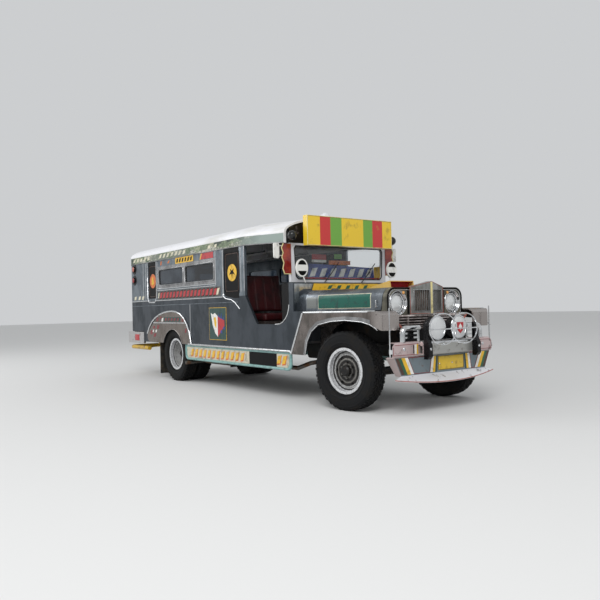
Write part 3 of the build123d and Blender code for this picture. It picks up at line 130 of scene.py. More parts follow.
def weather(tree, shader, clean, worn, patch_mm, share=0.5, rough=(0.4, 0.7), bump_mm=0.0, stretch=(1, 1, 1)):
    """Patches of a second colour over the first, with their own roughness and a little relief."""
    noise = noise_of(tree, object_space(tree, Scale=stretch), 1000 / patch_mm, 6, 0.62)
    patches = remap(tree, noise, 0.62 - share * 0.3, 0.72 - share * 0.2)
    tree.links.new(blend(tree, patches, clean, worn), shader.inputs["Base Color"])
    tree.links.new(remap(tree, patches, 0, 1, *rough), shader.inputs["Roughness"])
    if bump_mm:
        relief(tree, shader, noise, 0.5, bump_mm / 1000)


def weathered(name, clean, worn, patch_mm, share, rough, bump_mm=0.0, slot=None, stretch=(1, 1, 1), **finish):
    """A material of clean colour and worn patches. Finish takes metallic, coat and specular."""
    material, tree, shader = new_material(name, clean, slot, roughness=rough[0], **finish)
    weather(tree, shader, clean, worn, patch_mm, share, rough, bump_mm, stretch)
    return material


def paint_nodes(material, *names):
    """Gives CAD nodes their material."""
    for name in names:
        data = nodes[name].data
        if not data.materials:
            data.materials.append(material)
        for index in range(len(data.materials)):
            data.materials[index] = material


paint_nodes(weathered("satin_chassis_paint", "#17181A", "#3A342C", 160, 0.45, (0.45, 0.85), 0.6),
            "frame_rails", "crossmembers", "leaf_springs", "fuel_tank")
paint_nodes(weathered("oily_cast_iron", "#242322", "#4A3D30", 90, 0.4, (0.5, 0.8), 0.8, metallic=0.4),
            "engine_block", "driveline", "front_axle", "rear_axle", "knuckle_right", "knuckle_left", "tie_rod",
            "steering_column")
paint_nodes(weathered("aluminised_pipe_steel", "#55514C", "#6A4A32", 140, 0.5, (0.4, 0.75), 0.5, metallic=0.7),
            "exhaust")


# Tyres
# Cross-ply road tyres of black rubber, moulded with circumferential ribs and a zigzag tread.
# The sidewall has raised rings, and dust greys the shoulders.
TYRE_RADIUS = 0.380
TREAD_DEPTH = 0.009


def add_turned(bm, single, matrix):
    """Moves a bmesh by a matrix and adds it to another."""
    bmesh.ops.transform(single, matrix=matrix, verts=single.verts)
    carrier = bpy.data.meshes.new("carrier")
    single.to_mesh(carrier)
    single.free()
    bm.from_mesh(carrier)
    bpy.data.meshes.remove(carrier)


def finish_mesh(name, bm, material, body="body", smooth=None):
    """Turns a bmesh into a piece that rides on a body."""
    bmesh.ops.remove_doubles(bm, verts=bm.verts, dist=1e-6)
    bmesh.ops.recalc_face_normals(bm, faces=bm.faces)
    data = bpy.data.meshes.new(name)
    bm.to_mesh(data)
    bm.free()
    data.materials.append(material)
    piece = bpy.data.objects.new(name, data)
    bpy.context.scene.collection.objects.link(piece)
    if smooth is not None:
        data.shade_smooth()
        data.set_sharp_from_angle(angle=radians(smooth))
    if body:
        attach(piece, body)
    return piece


def lathe(bm, profile, steps, closed=True):
    """Spins a profile of radius and Y about the Y axis."""
    verts = [bm.verts.new((radius, y, 0)) for radius, y in profile]
    edges = [bm.edges.new(pair) for pair in zip(verts, verts[1:])]
    if closed:
        edges.append(bm.edges.new((verts[-1], verts[0])))
    bmesh.ops.spin(bm, geom=verts + edges, cent=(0, 0, 0), axis=(0, 1, 0), angle=2 * pi, steps=steps,
                   use_merge=True, use_duplicate=False)


STEER = radians(8)
KINGPIN_Y = 0.580
REACH = 0.110
REAR_AXLE = ahead(-3.690)
REAR_OUTER = 0.682
TWIN_SPACING = 0.222

tyre_rubber = weathered("road_tyre_rubber", "#0D0E10", "#1F1D1B", 120, 0.5, (0.72, 0.95), 0.3, "tyre", specular=0.25)


def tyre_block(bm, turn, radius, y, tilt, size):
    """One block of rubber on the tyre, at a turn round the axle."""
    place = Matrix.Rotation(turn, 4, "Y") @ Matrix.Translation((radius, y, 0))
    bmesh.ops.create_cube(bm, size=1, matrix=place @ tilt @ Matrix.Diagonal((*size, 1)))


def tyre_mesh():
    """Carcass with sidewall rings, five rows of tread blocks and shoulder lugs."""
    bm = bmesh.new()
    side = [(0.206, 0.062), (0.222, 0.066), (0.228, 0.072), (0.236, 0.071), (0.239, 0.077), (0.243, 0.077),
            (0.246, 0.084), (0.268, 0.0905), (0.271, 0.0935), (0.275, 0.0935), (0.278, 0.0915), (0.300, 0.094),
            (0.322, 0.0935), (0.338, 0.0915), (0.341, 0.0935), (0.346, 0.0925), (0.349, 0.089), (0.362, 0.083),
            (0.370, 0.076)]
    crown = 0.371
    grooves = []
    for middle in (0.048, 0.016, -0.016, -0.048):
        grooves += [(crown, middle + 0.005), (crown - TREAD_DEPTH, middle + 0.003),
                    (crown - TREAD_DEPTH, middle - 0.003), (crown, middle - 0.005)]
    lathe(bm, side + grooves + [(r, -y) for r, y in reversed(side)], 80)
    blocks, lugs = 72, 24
    slant, lug_slant = 14, -28
    for y, width, offset in ((-0.0645, 0.024, 0), (-0.032, 0.020, 0.5), (0, 0.020, 0), (0.032, 0.020, 0.5),
                             (0.0645, 0.024, 0)):
        gap = 0.75 if abs(y) > 0.05 else 0.86
        for index in range(blocks):
            way = 1 if index % 2 else -1
            tyre_block(bm, 2 * pi * (index + offset) / blocks, 0.3752, y + way * 0.004,
                       Matrix.Rotation(radians(slant * way), 4, "X"),
                       (0.0075, width * 0.92, 2 * pi * 0.375 / blocks * gap))
    for index in range(lugs):
        for face in (-1, 1):
            tyre_block(bm, 2 * pi * index / lugs, 0.356, face * 0.0835,
                       Matrix.Rotation(face * radians(lug_slant), 4, "Z"), (0.016, 0.006, 0.016))
    return bm


RIM_PLACES = {}
for axle, plural in (("front", ""), ("rear", "s")):
    for side, word in ((-1, "right"), (1, "left")):
        if axle == "front":
            pin = Matrix.Translation((FRONT_AXLE, side * KINGPIN_Y, TYRE_RADIUS)) @ Matrix.Rotation(STEER, 4, "Z")
            centres = [pin @ Matrix.Translation((0, side * REACH, 0))]
        else:
            centres = [Matrix.Translation((REAR_AXLE, side * (REAR_OUTER - TWIN_SPACING * twin), TYRE_RADIUS))
                       for twin in (0, 1)]
        places = [centre @ Matrix.Rotation(pi if side > 0 else 0, 4, "Z") for centre in centres]
        whole = bmesh.new()
        for place in places:
            add_turned(whole, tyre_mesh(), place)
        node, body = f"tyre{plural}_{axle}_{word}", f"wheel{plural}_{axle}_{word}"
        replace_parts(finish_mesh("road_" + node, whole, tyre_rubber, body, smooth=35), node)
        RIM_PLACES[f"rim{plural}_{axle}_{word}"] = places[0]
paint_nodes(tyre_rubber, "spare_wheel")


# Rims
# Pressed steel disc wheels, painted silver and chipped back to primer and rust round the flange.
# The dish is painted near black, so the ring reads much lighter than the middle.
def ramp_of(tree, factor, stops, steps=False):
    """A colour ramp from places and colours."""
    ramp = add_node(tree, "ShaderNodeValToRGB", {"Fac": factor})
    if steps:
        ramp.color_ramp.interpolation = "CONSTANT"
    ramp.color_ramp.elements.remove(ramp.color_ramp.elements[1])
    for index, (at, colour) in enumerate(stops):
        stop = ramp.color_ramp.elements[0] if index == 0 else ramp.color_ramp.elements.new(at)
        stop.position = at
        stop.color = linear(colour)
    return ramp.outputs[0]


def maths(tree, operation, *values):
    """One step of arithmetic, or one comparison."""
    return add_node(tree, "ShaderNodeMath", dict(enumerate(values)), operation=operation).outputs[0]


def rim_paint(name, place):
    """Silver ring, dark dish: the colour follows the distance from the wheel's axle."""
    material, tree, shader = new_material(name, "#B9B8B2", metallic=0.35, roughness=0.45)
    inverse = place.inverted()
    moved = object_space(tree, Location=inverse.translation, Rotation=inverse.to_euler())
    parts = add_node(tree, "ShaderNodeSeparateXYZ", {"Vector": moved})
    flat = add_node(tree, "ShaderNodeCombineXYZ", {"X": parts.outputs["X"], "Z": parts.outputs["Z"]})
    radius = add_node(tree, "ShaderNodeVectorMath", {0: flat.outputs[0]}, operation="LENGTH").outputs["Value"]
    noise = noise_of(tree, moved, 34, 5)
    rings = ramp_of(tree, maths(tree, "MULTIPLY_ADD", noise, 0.014, radius), (
        (0.0, "#0B0B0C"), (0.060, "#1B1A19"), (0.074, "#6C6A66"), (0.086, "#131313"), (0.108, "#171615"),
        (0.120, "#83817C"), (0.131, "#141414"), (0.154, "#121212"), (0.162, "#C6C6C5"), (0.178, "#B2B2B1"),
        (0.184, "#1B1B1B"), (0.195, "#161616"), (0.201, "#D0D1D3"), (0.240, "#D6D7D8"), (0.249, "#8E8B87")))
    chips = remap(tree, noise_of(tree, moved, 120, 3), 0.60, 0.66)
    tree.links.new(blend(tree, chips, rings, "#3A2A20"), shader.inputs["Base Color"])
    relief(tree, shader, noise, 0.25, 0.001)
    return material


for node, place in RIM_PLACES.items():
    paint_nodes(rim_paint("chipped_" + node.replace("rims", "rim"), place), node)


# Floor
# Checker plate of dull aluminium over the frame, worn bright along the aisle.
# Grit sits between the raised bars, which are about 25 mm long and cross each other.
checker, tree, shader = new_material("worn_checker_plate", "#77787A", metallic=0.8)
weather(tree, shader, "#77787A", "#4D4842", 300, 0.6, (0.35, 0.65))
slant = object_space(tree, Rotation=(0, 0, pi / 4))
tread = add_node(tree, "ShaderNodeTexBrick", {"Vector": slant, "Scale": 32, "Mortar Size": 0.18, "Mortar Smooth": 0.4,
                                              "Brick Width": 0.9, "Row Height": 0.45}).outputs["Fac"]
relief(tree, shader, tread, 0.6, 0.0015, invert=True)
paint_nodes(checker, "cabin_floor", "bench_frames")


# Body sheet
# The whole body is folded from stainless sheet with a fine brushed finish.
# Years of wiping leave it grey and cloudy; the lower sides are painted darker than the upper frames as painted shade.
def steel(name, clean, worn, rough=(0.32, 0.5), metallic=0.7, patch=260, slot="stainless"):
    """Brushed sheet with cloudy patches, fine lines along its length and shallow dents."""
    material, tree, shader = new_material(name, clean, slot, metallic)
    weather(tree, shader, clean, worn, patch, 0.7, rough, stretch=(1, 1, 0.6))
    grain = noise_of(tree, object_space(tree, Scale=(6, 6, 900)), 1, 2)
    dents = noise_of(tree, object_space(tree), 3.2, 2)
    relief(tree, shader, maths(tree, "MULTIPLY_ADD", grain, 0.02, dents), 0.35, 0.006)
    return material


def object_axis(tree, axis):
    """One coordinate of the object's own frame."""
    return add_node(tree, "ShaderNodeSeparateXYZ", {"Vector": object_space(tree)}).outputs[axis]


def repaint(material, mask, colour):
    """Mixes a second colour into a finish where a mask is 1."""
    tree = material.node_tree
    base = tree.nodes["Principled BSDF"].inputs["Base Color"]
    tree.links.new(blend(tree, mask, base.links[0].from_socket, colour), base)


# The lower sides are painted darker than the upper frames as painted shade.
paint_nodes(steel("cloudy_side_stainless_painted_shade", "#454B52", "#343A40"), "body_sides")
frame_steel = steel("window_wall_stainless", "#7A838A", "#5E666D", (0.28, 0.45), patch=180)
paint_nodes(frame_steel, "window_sides", "rear_wall")
# The scuttle side is painted darker as painted shade, and behind X -0.8155 it is painted near black as the painted
# shade of the cab's inside.
scuttle_steel_painted_shade = steel("scuttle_side_stainless_painted_shade", "#5A6067", "#444A50", (0.25, 0.42), patch=180)
tree = scuttle_steel_painted_shade.node_tree
repaint(scuttle_steel_painted_shade, maths(tree, "LESS_THAN", object_axis(tree, "X"), ahead(-0.8155)), "#0D0D0E")
paint_nodes(scuttle_steel_painted_shade, "cowl")
edge_steel = steel("rolled_edge_stainless", "#A5A5A6", "#7A7A7B", (0.22, 0.38), patch=180)
hood_steel = steel("hood_stainless", "#868C92", "#5F656B", (0.2, 0.34))
paint_nodes(hood_steel, "bonnet")
paint_nodes(steel("grille_shell_stainless", "#A3A4A3", "#787874", (0.22, 0.4), patch=120), "grille_shell")
bright_steel = steel("dulled_polished_stainless", "#9C9692", "#77706D", (0.16, 0.32), 0.85, 150, "polished")
paint_nodes(steel("rear_arch_stainless", "#8F857E", "#756C65", (0.18, 0.34), 0.85, 150), "arch_panels")
wing_steel_painted_highlight = steel("wing_stainless_painted_highlight", "#837B77", "#5B5652", (0.2, 0.35), 0.8, 200)
tree = wing_steel_painted_highlight.node_tree
# The front end of each wing is painted lighter as a painted highlight.
repaint(wing_steel_painted_highlight, remap(tree, object_axis(tree, "X"), ahead(0.45), ahead(0.53)), "#A8A19D")
paint_nodes(wing_steel_painted_highlight, "wings")
chrome = weathered("chrome_plate", "#DADCDE", "#B2B0AE", 40, 0.3, (0.07, 0.2), slot="polished", metallic=1.0)
paint_nodes(chrome, "bumper_guards", "lamp_hoops", "handrails")


# Mouldings
# Half-round stainless mouldings are riveted along the belt and round the doorway.
# They are polished and catch the sky as thin white lines.
BODY_SIDE = 0.797
ROOF_SIDE = 0.803


def round_bar(bm, points, radius, steps=10):
    """A round bar along a line of points, mitred at the corners and closed at the ends."""
    points = [Vector((ahead(x), y, z)) for x, y, z in points]
    rings = []
    for index, point in enumerate(points):
        before = (point - points[index - 1]).normalized() if index else (points[1] - point).normalized()
        after = (points[index + 1] - point).normalized() if index < len(points) - 1 else before
        along = (before + after).normalized()
        across = along.orthogonal() if not rings else (across - across.dot(along) * along)
        across.normalize()
        other = along.cross(across)
        bend = (after - before)
        mitre = 1 / max(0.4, along.dot(after))
        ring = []
        for step in range(steps):
            turn = 2 * pi * step / steps
            offset = (across * cos(turn) + other * sin(turn)) * radius
            if bend.length > 1e-4:
                push = bend.normalized()
                offset += push * offset.dot(push) * (mitre - 1)
            ring.append(bm.verts.new(point + offset))
        rings.append(ring)
    for one, two in zip(rings, rings[1:]):
        for step in range(steps):
            bm.faces.new((one[step], one[step - 1], two[step - 1], two[step]))
    bm.faces.new(rings[0])
    bm.faces.new(rings[-1])


def side_bars(name, lines, radius, material=chrome, y=BODY_SIDE):
    """Bars on both sides of the body, along lines of X ahead of the front axle and Z."""
    bm = bmesh.new()
    for side in (-1, 1):
        for line in lines:
            round_bar(bm, [(x, side * y, z) for x, z in line], radius)
    return finish_mesh(name, bm, material, smooth=50)


side_bars("belt_moulding_upper", [((-5.19, 1.153), (-4.53, 1.153), (-4.50, 1.125), (-4.30, 1.125), (-4.265, 1.153),
                                   (-2.235, 1.153), (-2.215, 1.19), (-2.215, 1.735)),
                                  ((-2.215, 1.19), (-2.205, 1.155), (-2.16, 1.128), (-2.02, 1.112), (-1.93, 1.075),
                                   (-1.87, 1.03), (-1.82, 0.998))], 0.0085)
side_bars("belt_moulding_lower", [((-5.19, 1.080), (-1.86, 1.080))], 0.005, frame_steel)
side_bars("post_mouldings", [((x, low), (x, high)) for x, low, high in (
    (-1.785, 1.20, 1.738), (-1.712, 1.21, 1.738), (-3.135, 0.545, 1.075), (-4.72, 1.16, 1.735),
    (-4.63, 1.16, 1.735))], 0.006)
side_bars("sill_tube", [((-3.20, 0.536), (-0.80, 0.536))], 0.0135, y=BODY_SIDE + 0.004)
side_bars("doorway_moulding", [((-0.817, 1.03), (-0.822, 0.99), (-0.845, 0.93), (-0.884, 0.885), (-0.935, 0.848),
                                (-0.989, 0.826), (-1.08, 0.820))], 0.007, y=BODY_SIDE - 0.001)


# Window frames
# Each window has a folded frame, proud of the side, with a black rubber channel for the glass.
# A drip rail runs over them, screwed to the edge of the roof.
def rounded(bm, offset, segments=2):
    """Rounds every edge."""
    bmesh.ops.bevel(bm, geom=list(bm.edges), offset=offset, segments=segments, profile=0.5, affect="EDGES",
                    material=-1)


def extruded(name, plates, material, body="body", bevel=0.0, smooth=40):
    """Flat plates as one piece. Each is an outline of points and the depth that it is thickened along."""
    bm = bmesh.new()
    for outline, depth in plates:
        face = bm.faces.new([bm.verts.new((ahead(x), y, z)) for x, y, z in outline])
        out = bmesh.ops.extrude_face_region(bm, geom=[face])
        raised = [v for v in out["geom"] if isinstance(v, bmesh.types.BMVert)]
        bmesh.ops.translate(bm, verts=raised, vec=Vector(depth))
    if bevel:
        bmesh.ops.recalc_face_normals(bm, faces=bm.faces)
        rounded(bm, bevel)
    return finish_mesh(name, bm, material, body, smooth)


def side_plates(name, shapes, material, inner=BODY_SIDE, thick=0.0012, bevel=0.0):
    """Plates on both sides of the body, from outlines in X ahead of the front axle and Z."""
    plates = [([(x, side * inner, z) for x, z in shape], (0, side * thick, 0))
              for side in (-1, 1) for shape in shapes]
    return extruded(name, plates, material, bevel=bevel)


def box(x0, x1, z0, z1):
    """Corners of a rectangle."""
    return (x0, z0), (x1, z0), (x1, z1), (x0, z1)


def oval(x, z, half_x, half_z, steps=40):
    """Points of an oval."""
    return [(x + half_x * cos(2 * pi * i / steps), z + half_z * sin(2 * pi * i / steps)) for i in range(steps)]


def hoop(x0, x1, z0, z1):
    """A closed rectangular line with cut corners."""
    c = 0.025
    return ((x0 + c, z0), (x1 - c, z0), (x1, z0 + c), (x1, z1 - c), (x1 - c, z1), (x0 + c, z1), (x0, z1 - c),
            (x0, z0 + c), (x0 + c, z0), (x0 + c + 0.01, z0))


rubber = weathered("black_rubber_seal", "#131314", "#2A2927", 30, 0.4, (0.6, 0.85), 0.2, "rubber")
WINDOWS = ((-4.130, -3.340), (-3.260, -2.460))
side_bars("window_frames", [hoop(rear - 0.012, front + 0.012, 1.371, 1.607) for rear, front in WINDOWS], 0.009,
          edge_steel, BODY_SIDE + 0.001)
side_plates("window_frame_flats", [box(*sides) for sides in (
    (-4.185, -2.405, 1.609, 1.650), (-4.185, -2.405, 1.330, 1.369), (-3.341, -3.259, 1.369, 1.609),
    (-4.185, -4.131, 1.369, 1.609), (-2.459, -2.405, 1.369, 1.609))], edge_steel, thick=0.0015)
side_bars("window_seals", [hoop(rear + 0.004, front - 0.004, 1.387, 1.591) for rear, front in WINDOWS], 0.004,
          rubber, BODY_SIDE - 0.004)
side_bars("window_sill_moulding", [((-4.20, 1.325), (-2.40, 1.325)), ((-4.20, 1.30), (-2.40, 1.30)),
                                   ((-4.185, 1.325), (-4.185, 1.725)), ((-2.40, 1.30), (-2.40, 1.735))], 0.007,
          y=BODY_SIDE + 0.001)
side_bars("drip_rail", [((-5.19, 1.744), (-1.70, 1.744), (-0.88, 1.700))], 0.006, edge_steel, ROOF_SIDE)


def glass(name, clean, worn, patch_mm, share, rough, clear):
    """Dusty sheet glass, clear or tinted."""
    material = weathered(name, clean, worn, patch_mm, share, rough, slot="glass")
    shader = material.node_tree.nodes["Principled BSDF"]
    shader.inputs["Transmission Weight"].default_value = clear
    shader.inputs["IOR"].default_value = 1.45
    return material


window_glass = glass("dusty_screen_glass", "#F4F7F8", "#DDE0E0", 220, 0.25, (0.03, 0.14), 1.0)
dark_pane_painted_shade = glass("tinted_window_glass_painted_shade", "#28323E", "#46505A", 300, 0.35, (0.03, 0.12), 0.9)
# The dark tinted panes stand in for the shade inside the window openings, as painted shade.
side_plates("window_panes", [box(rear - 0.002, front + 0.002, 1.383, 1.595) for rear, front in WINDOWS],
            dark_pane_painted_shade, BODY_SIDE - 0.012, 0.004)


# Painted panels
# Sign-painted panels in enamel on the sides, with brush marks and faded colours.
# Their ornament is plain: rows of leaning figures, two ovals and a shield in four colours.
def darker(colour, share):
    """An sRGB hex colour, darkened."""
    return "#" + "".join(f"{int(int(colour[i:i + 2], 16) * share):02X}" for i in (1, 3, 5))


def enamel(name, colour, slot, worn=None, rough=(0.3, 0.5), patch=60, share=0.35, coat=0.15, specular=0.5):
    """Sign painter's enamel: slightly uneven gloss with small worn patches."""
    return weathered(name, colour, worn or darker(colour, 0.8), patch, share, rough, 0.15, slot, coat=coat,
                     specular=specular)


yellow, cream, red, dark_red, orange, green, dark_green, bright_green, blue, white, grey, aqua, brown = [
    enamel(word + "_enamel", colour, slot) for word, colour, slot in (
        ("yellow", "#E3B321", "sign_yellow"), ("cream", "#D8D2B8", "white_paint"), ("red", "#B3242B", "lamp_red"),
        ("dark_red", "#7E1F26", "lamp_red"), ("orange", "#D2691E", "sign_yellow"),
        ("green", "#1E5B3F", "aqua_paint"), ("dark_green", "#16403A", "aqua_paint"),
        ("bright_green", "#5FA336", "aqua_paint"), ("blue", "#27408F", "panel_black"),
        ("white", "#E4E3DE", "white_paint"), ("grey", "#4A4642", "stainless"), ("aqua", "#7FA8A4", "aqua_paint"),
        ("brown", "#4A2F22", "panel_black"))]
black = enamel("black_enamel", "#060607", "panel_black", "#121110", (0.4, 0.55), coat=0.0, specular=0.12)


def lozenge(x, z, half_x, half_z, lean=0.0):
    """A four-sided figure that leans forward at its top."""
    return ((x - half_x - lean, z - half_z), (x + half_x * 0.5 - lean, z - half_z * 0.85),
            (x + half_x + lean, z + half_z), (x - half_x * 0.5 + lean, z + half_z * 0.8))


def row(start, pitch, count, *lozenge_sizes):
    """A row of equal leaning figures, from the first one's middle."""
    x, z = start
    return [lozenge(x + pitch * index, z, *lozenge_sizes) for index in range(count)]


side_plates("strip_ground", [((-4.19, 1.166), (-2.28, 1.166), (-2.28, 1.286), (-4.19, 1.286))], grey)
side_plates("strip_outlines", row((-4.06, 1.226), 0.1095, 16, 0.052, 0.054, 0.006), black, BODY_SIDE + 0.001)
side_plates("strip_figures", row((-4.06, 1.226), 0.1095, 16, 0.045, 0.044, 0.005), red, BODY_SIDE + 0.002)
side_plates("strip_ends", [lozenge(-2.355, 1.226, 0.040, 0.045, 0.012), lozenge(-4.15, 1.226, 0.025, 0.04, 0.004),
                           lozenge(-4.88, 1.205, 0.05, 0.03), lozenge(-4.74, 1.205, 0.05, 0.03),
                           lozenge(-5.05, 1.205, 0.05, 0.03)], cream, BODY_SIDE + 0.001)
side_plates("header_yellow", [box(-3.565, -3.015, 1.655, 1.737)], yellow, thick=0.002)
side_plates("header_figures", row((-3.50, 1.696), 0.085, 6, 0.030, 0.028, 0.004), black, BODY_SIDE + 0.002, 0.001)
side_plates("header_red", [((-2.80, 1.658), (-2.46, 1.658), (-2.46, 1.736), (-2.76, 1.736))], red, thick=0.002)
side_plates("header_slant", [((-2.825, 1.658), (-2.80, 1.658), (-2.76, 1.736), (-2.785, 1.736))], yellow,
            thick=0.0025)
side_plates("header_marks", [lozenge(-4.05, 1.697, 0.028, 0.030), lozenge(-3.79, 1.70, 0.035, 0.02, 0.008)],
            orange, thick=0.0015)

paint_nodes(black, "quarter_panels")
side_plates("quarter_panel_ends", [box(-2.195, -1.830, 1.684, 1.742), box(-4.530, -4.240, 1.684, 1.742), (
    (-2.17, 1.162), (-1.95, 1.130), (-1.835, 1.130), (-1.835, 1.206), (-2.195, 1.206))], black, thick=0.001)
PANEL_FACE = 0.7885
side_bars("panel_borders", [hoop(-2.165, -1.855, 1.215, 1.672), hoop(-4.505, -4.265, 1.215, 1.672)], 0.004, brown,
          PANEL_FACE)
side_plates("panel_ovals", [oval(-2.005, 1.44, 0.108, 0.104)], yellow, PANEL_FACE, 0.003)
side_plates("panel_ovals_rear", [oval(-4.375, 1.45, 0.105, 0.108)], orange, PANEL_FACE, 0.003)
side_plates("oval_figures", [((-2.075, 1.41), (-2.035, 1.455), (-2.05, 1.49), (-2.005, 1.465), (-1.96, 1.49),
                              (-1.975, 1.455), (-1.935, 1.41), (-1.99, 1.43), (-2.005, 1.375), (-2.02, 1.43))],
            black, PANEL_FACE + 0.003, 0.001)
side_plates("oval_figures_rear", [((-4.42, 1.40), (-4.375, 1.385), (-4.335, 1.41), (-4.345, 1.47), (-4.375, 1.52),
                                   (-4.41, 1.47))], yellow, PANEL_FACE + 0.003, 0.001)
side_bars("rear_panel_trim", [((-4.555, 1.735), (-4.555, 1.20), (-4.50, 1.135), (-4.285, 1.135), (-4.225, 1.20),
                               (-4.225, 1.735))], 0.0075, y=BODY_SIDE + 0.002)

side_plates("badge_border", [box(-2.594, -2.154, 0.6145, 1.0225)], yellow, thick=0.0015)
side_plates("badge_ground", [box(-2.588, -2.160, 0.620, 1.017)], dark_green, thick=0.0025)
side_plates("badge_left", [((-2.545, 0.955), (-2.49, 0.935), (-2.44, 0.955), (-2.37, 0.915), (-2.37, 0.655),
                            (-2.44, 0.70), (-2.50, 0.80))], white, BODY_SIDE + 0.002, 0.0015)
side_plates("badge_shade", [((-2.47, 0.895), (-2.42, 0.905), (-2.40, 0.84), (-2.41, 0.76), (-2.45, 0.80))], yellow,
            BODY_SIDE + 0.003)
side_plates("badge_right", [((-2.37, 0.655), (-2.37, 0.915), (-2.32, 0.895), (-2.20, 0.865), (-2.20, 0.79),
                             (-2.27, 0.735))], red, BODY_SIDE + 0.002, 0.0015)
side_plates("badge_rays", [((-2.35, 0.905), (-2.335, 0.96), (-2.315, 0.895)),
                           ((-2.30, 0.885), (-2.265, 0.955), (-2.265, 0.880)),
                           ((-2.25, 0.87), (-2.195, 0.925), (-2.215, 0.865)),
                           ((-2.215, 0.79), (-2.19, 0.745), (-2.245, 0.76)),
                           ((-2.27, 0.75), (-2.255, 0.695), (-2.31, 0.715))], blue, BODY_SIDE + 0.003)


# Rear wheel arches
# Pressed stainless panels with a rolled chrome bead round the edge and painted ornament.
# A chrome bar and a dark panel sit over the wheel.
ARCH_SIDE = BODY_SIDE + 0.009
side_bars("arch_beads", [((-4.575, 0.66), (-4.50, 0.755), (-4.40, 0.835), (-4.28, 0.895), (-4.12, 0.945),
                          (-3.95, 0.975), (-3.80, 0.987), (-3.69, 0.990), (-3.56, 0.980), (-3.42, 0.945),
                          (-3.31, 0.885), (-3.22, 0.80), (-3.16, 0.70), (-3.125, 0.60), (-3.108, 0.535))], 0.013,
          y=ARCH_SIDE)
lip_turns = [radians(26 + 128 * step / 28) for step in range(29)]
side_bars("arch_lips", [[(-3.690 + 0.353 * cos(turn), 0.380 + 0.353 * sin(turn)) for turn in lip_turns]], 0.007,
          bright_steel, ARCH_SIDE)
side_bars("arch_bar", [((-4.345, 0.823), (-3.28, 0.823))], 0.009, y=ARCH_SIDE)
side_plates("arch_dark_panel", [box(-3.97, -3.43, 0.84, 0.905)], dark_green, ARCH_SIDE, 0.002)
side_plates("arch_dark_figures", row((-3.90, 0.872), 0.1, 5, 0.035, 0.022, 0.004), dark_red, ARCH_SIDE + 0.002, 0.001)
side_plates("arch_red_figures", [lozenge(*sizes) for sizes in (
    (-4.20, 0.872, 0.045, 0.03), (-4.08, 0.90, 0.03, 0.02), (-3.35, 0.862, 0.035, 0.02), (-4.42, 0.68, 0.05, 0.035),
    (-4.30, 0.64, 0.05, 0.03), (-4.18, 0.76, 0.05, 0.03), (-3.26, 0.72, 0.03, 0.03),
    (-4.33, 0.755, 0.04, 0.02))], dark_red, ARCH_SIDE, 0.0015)
side_plates("arch_white_figures", [lozenge(*sizes) for sizes in (
    (-4.02, 0.868, 0.035, 0.028), (-4.36, 0.70, 0.03, 0.02), (-4.25, 0.70, 0.03, 0.02))], white, ARCH_SIDE, 0.0015)


# Sill boards
# Boards under the sills in cream and black, inside a bent tube painted aqua.
# The cream field has a row of leaning figures in yellow with orange shadows.
paint_nodes(aqua, "sill_boards")
aged_cream = enamel("aged_cream_enamel", "#C4BEA9", "white_paint", "#8E8877", patch=80)
BOARD_SIDE = BODY_SIDE - 0.010
side_plates("board_cream", [((-3.262, 0.400), (-3.235, 0.356), (-1.65, 0.356), (-1.65, 0.500), (-3.262, 0.500))],
            aged_cream, BOARD_SIDE, 0.002)
side_plates("board_black", [box(-1.65, -1.08, 0.356, 0.500)], black, BOARD_SIDE, 0.002)
side_plates("board_end", [((-1.08, 0.356), (-0.875, 0.356), (-0.845, 0.395), (-0.845, 0.500), (-1.08, 0.500))],
            aged_cream, BOARD_SIDE, 0.002)
figures = [(-3.10 + 0.118 * index, 0.426) for index in range(12)] + [(-1.03, 0.43), (-0.93, 0.43)]
side_plates("board_shadows", [lozenge(x, z, 0.046, 0.056, 0.004) for x, z in figures], orange, BOARD_SIDE + 0.002,
            0.001)
side_plates("board_figures", [lozenge(x - 0.006, z + 0.006, 0.040, 0.046, 0.004) for x, z in figures], yellow,
            BOARD_SIDE + 0.003, 0.001)


# Roof
# Sheet steel rolled to an arch and brush-painted gloss white, over a deep edge.
# The edge carries a faded painting of green, cream and grey shapes.
paint_nodes(weathered("gloss_white_roof_paint", "#ECECF0", "#D6D5D2", 420, 0.5, (0.3, 0.5), stretch=(0.4, 1, 1),
                      coat=0.2), "roof")
band_paint, tree, shader = new_material("faded_roof_band_paint", "#8F9480", "roof_white")
blocks = object_space(tree, Scale=(3.2, 0.0, 9.0))
cells = add_node(tree, "ShaderNodeTexVoronoi", {"Vector": blocks, "Scale": 1.4, "Randomness": 1.0})
cell_grey = add_node(tree, "ShaderNodeRGBToBW", {"Color": cells.outputs["Color"]}).outputs[0]
painted = ramp_of(tree, maths(tree, "MULTIPLY_ADD", noise_of(tree, blocks, 5.5, 4), 0.55, cell_grey), (
    (0.42, "#38443A"), (0.55, "#5E6B52"), (0.66, "#77866A"), (0.74, "#A9A78E"), (0.82, "#4C574C"),
    (0.90, "#BDBBAC"), (1.0, "#6C7468")))
front_share = remap(tree, object_axis(tree, "X"), ahead(-2.0), ahead(-1.3))
tree.links.new(blend(tree, front_share, painted, "#8C9A94"), shader.inputs["Base Color"])
side_plates("roof_edge_band", [((-5.19, 1.750), (-1.70, 1.750), (-0.88, 1.706), (-0.88, 1.800), (-1.70, 1.845),
                                (-5.19, 1.845))], band_paint, ROOF_SIDE, 0.002)
side_plates("band_figures", row((-5.05, 1.798), 0.14, 5, 0.05, 0.026, 0.005)
            + row((-4.05, 1.80), 0.13, 7, 0.045, 0.03, 0.012)
            + [lozenge(-2.55, 1.80, 0.045, 0.022), lozenge(-2.38, 1.80, 0.04, 0.022)],
            cream, ROOF_SIDE + 0.002, 0.0008)


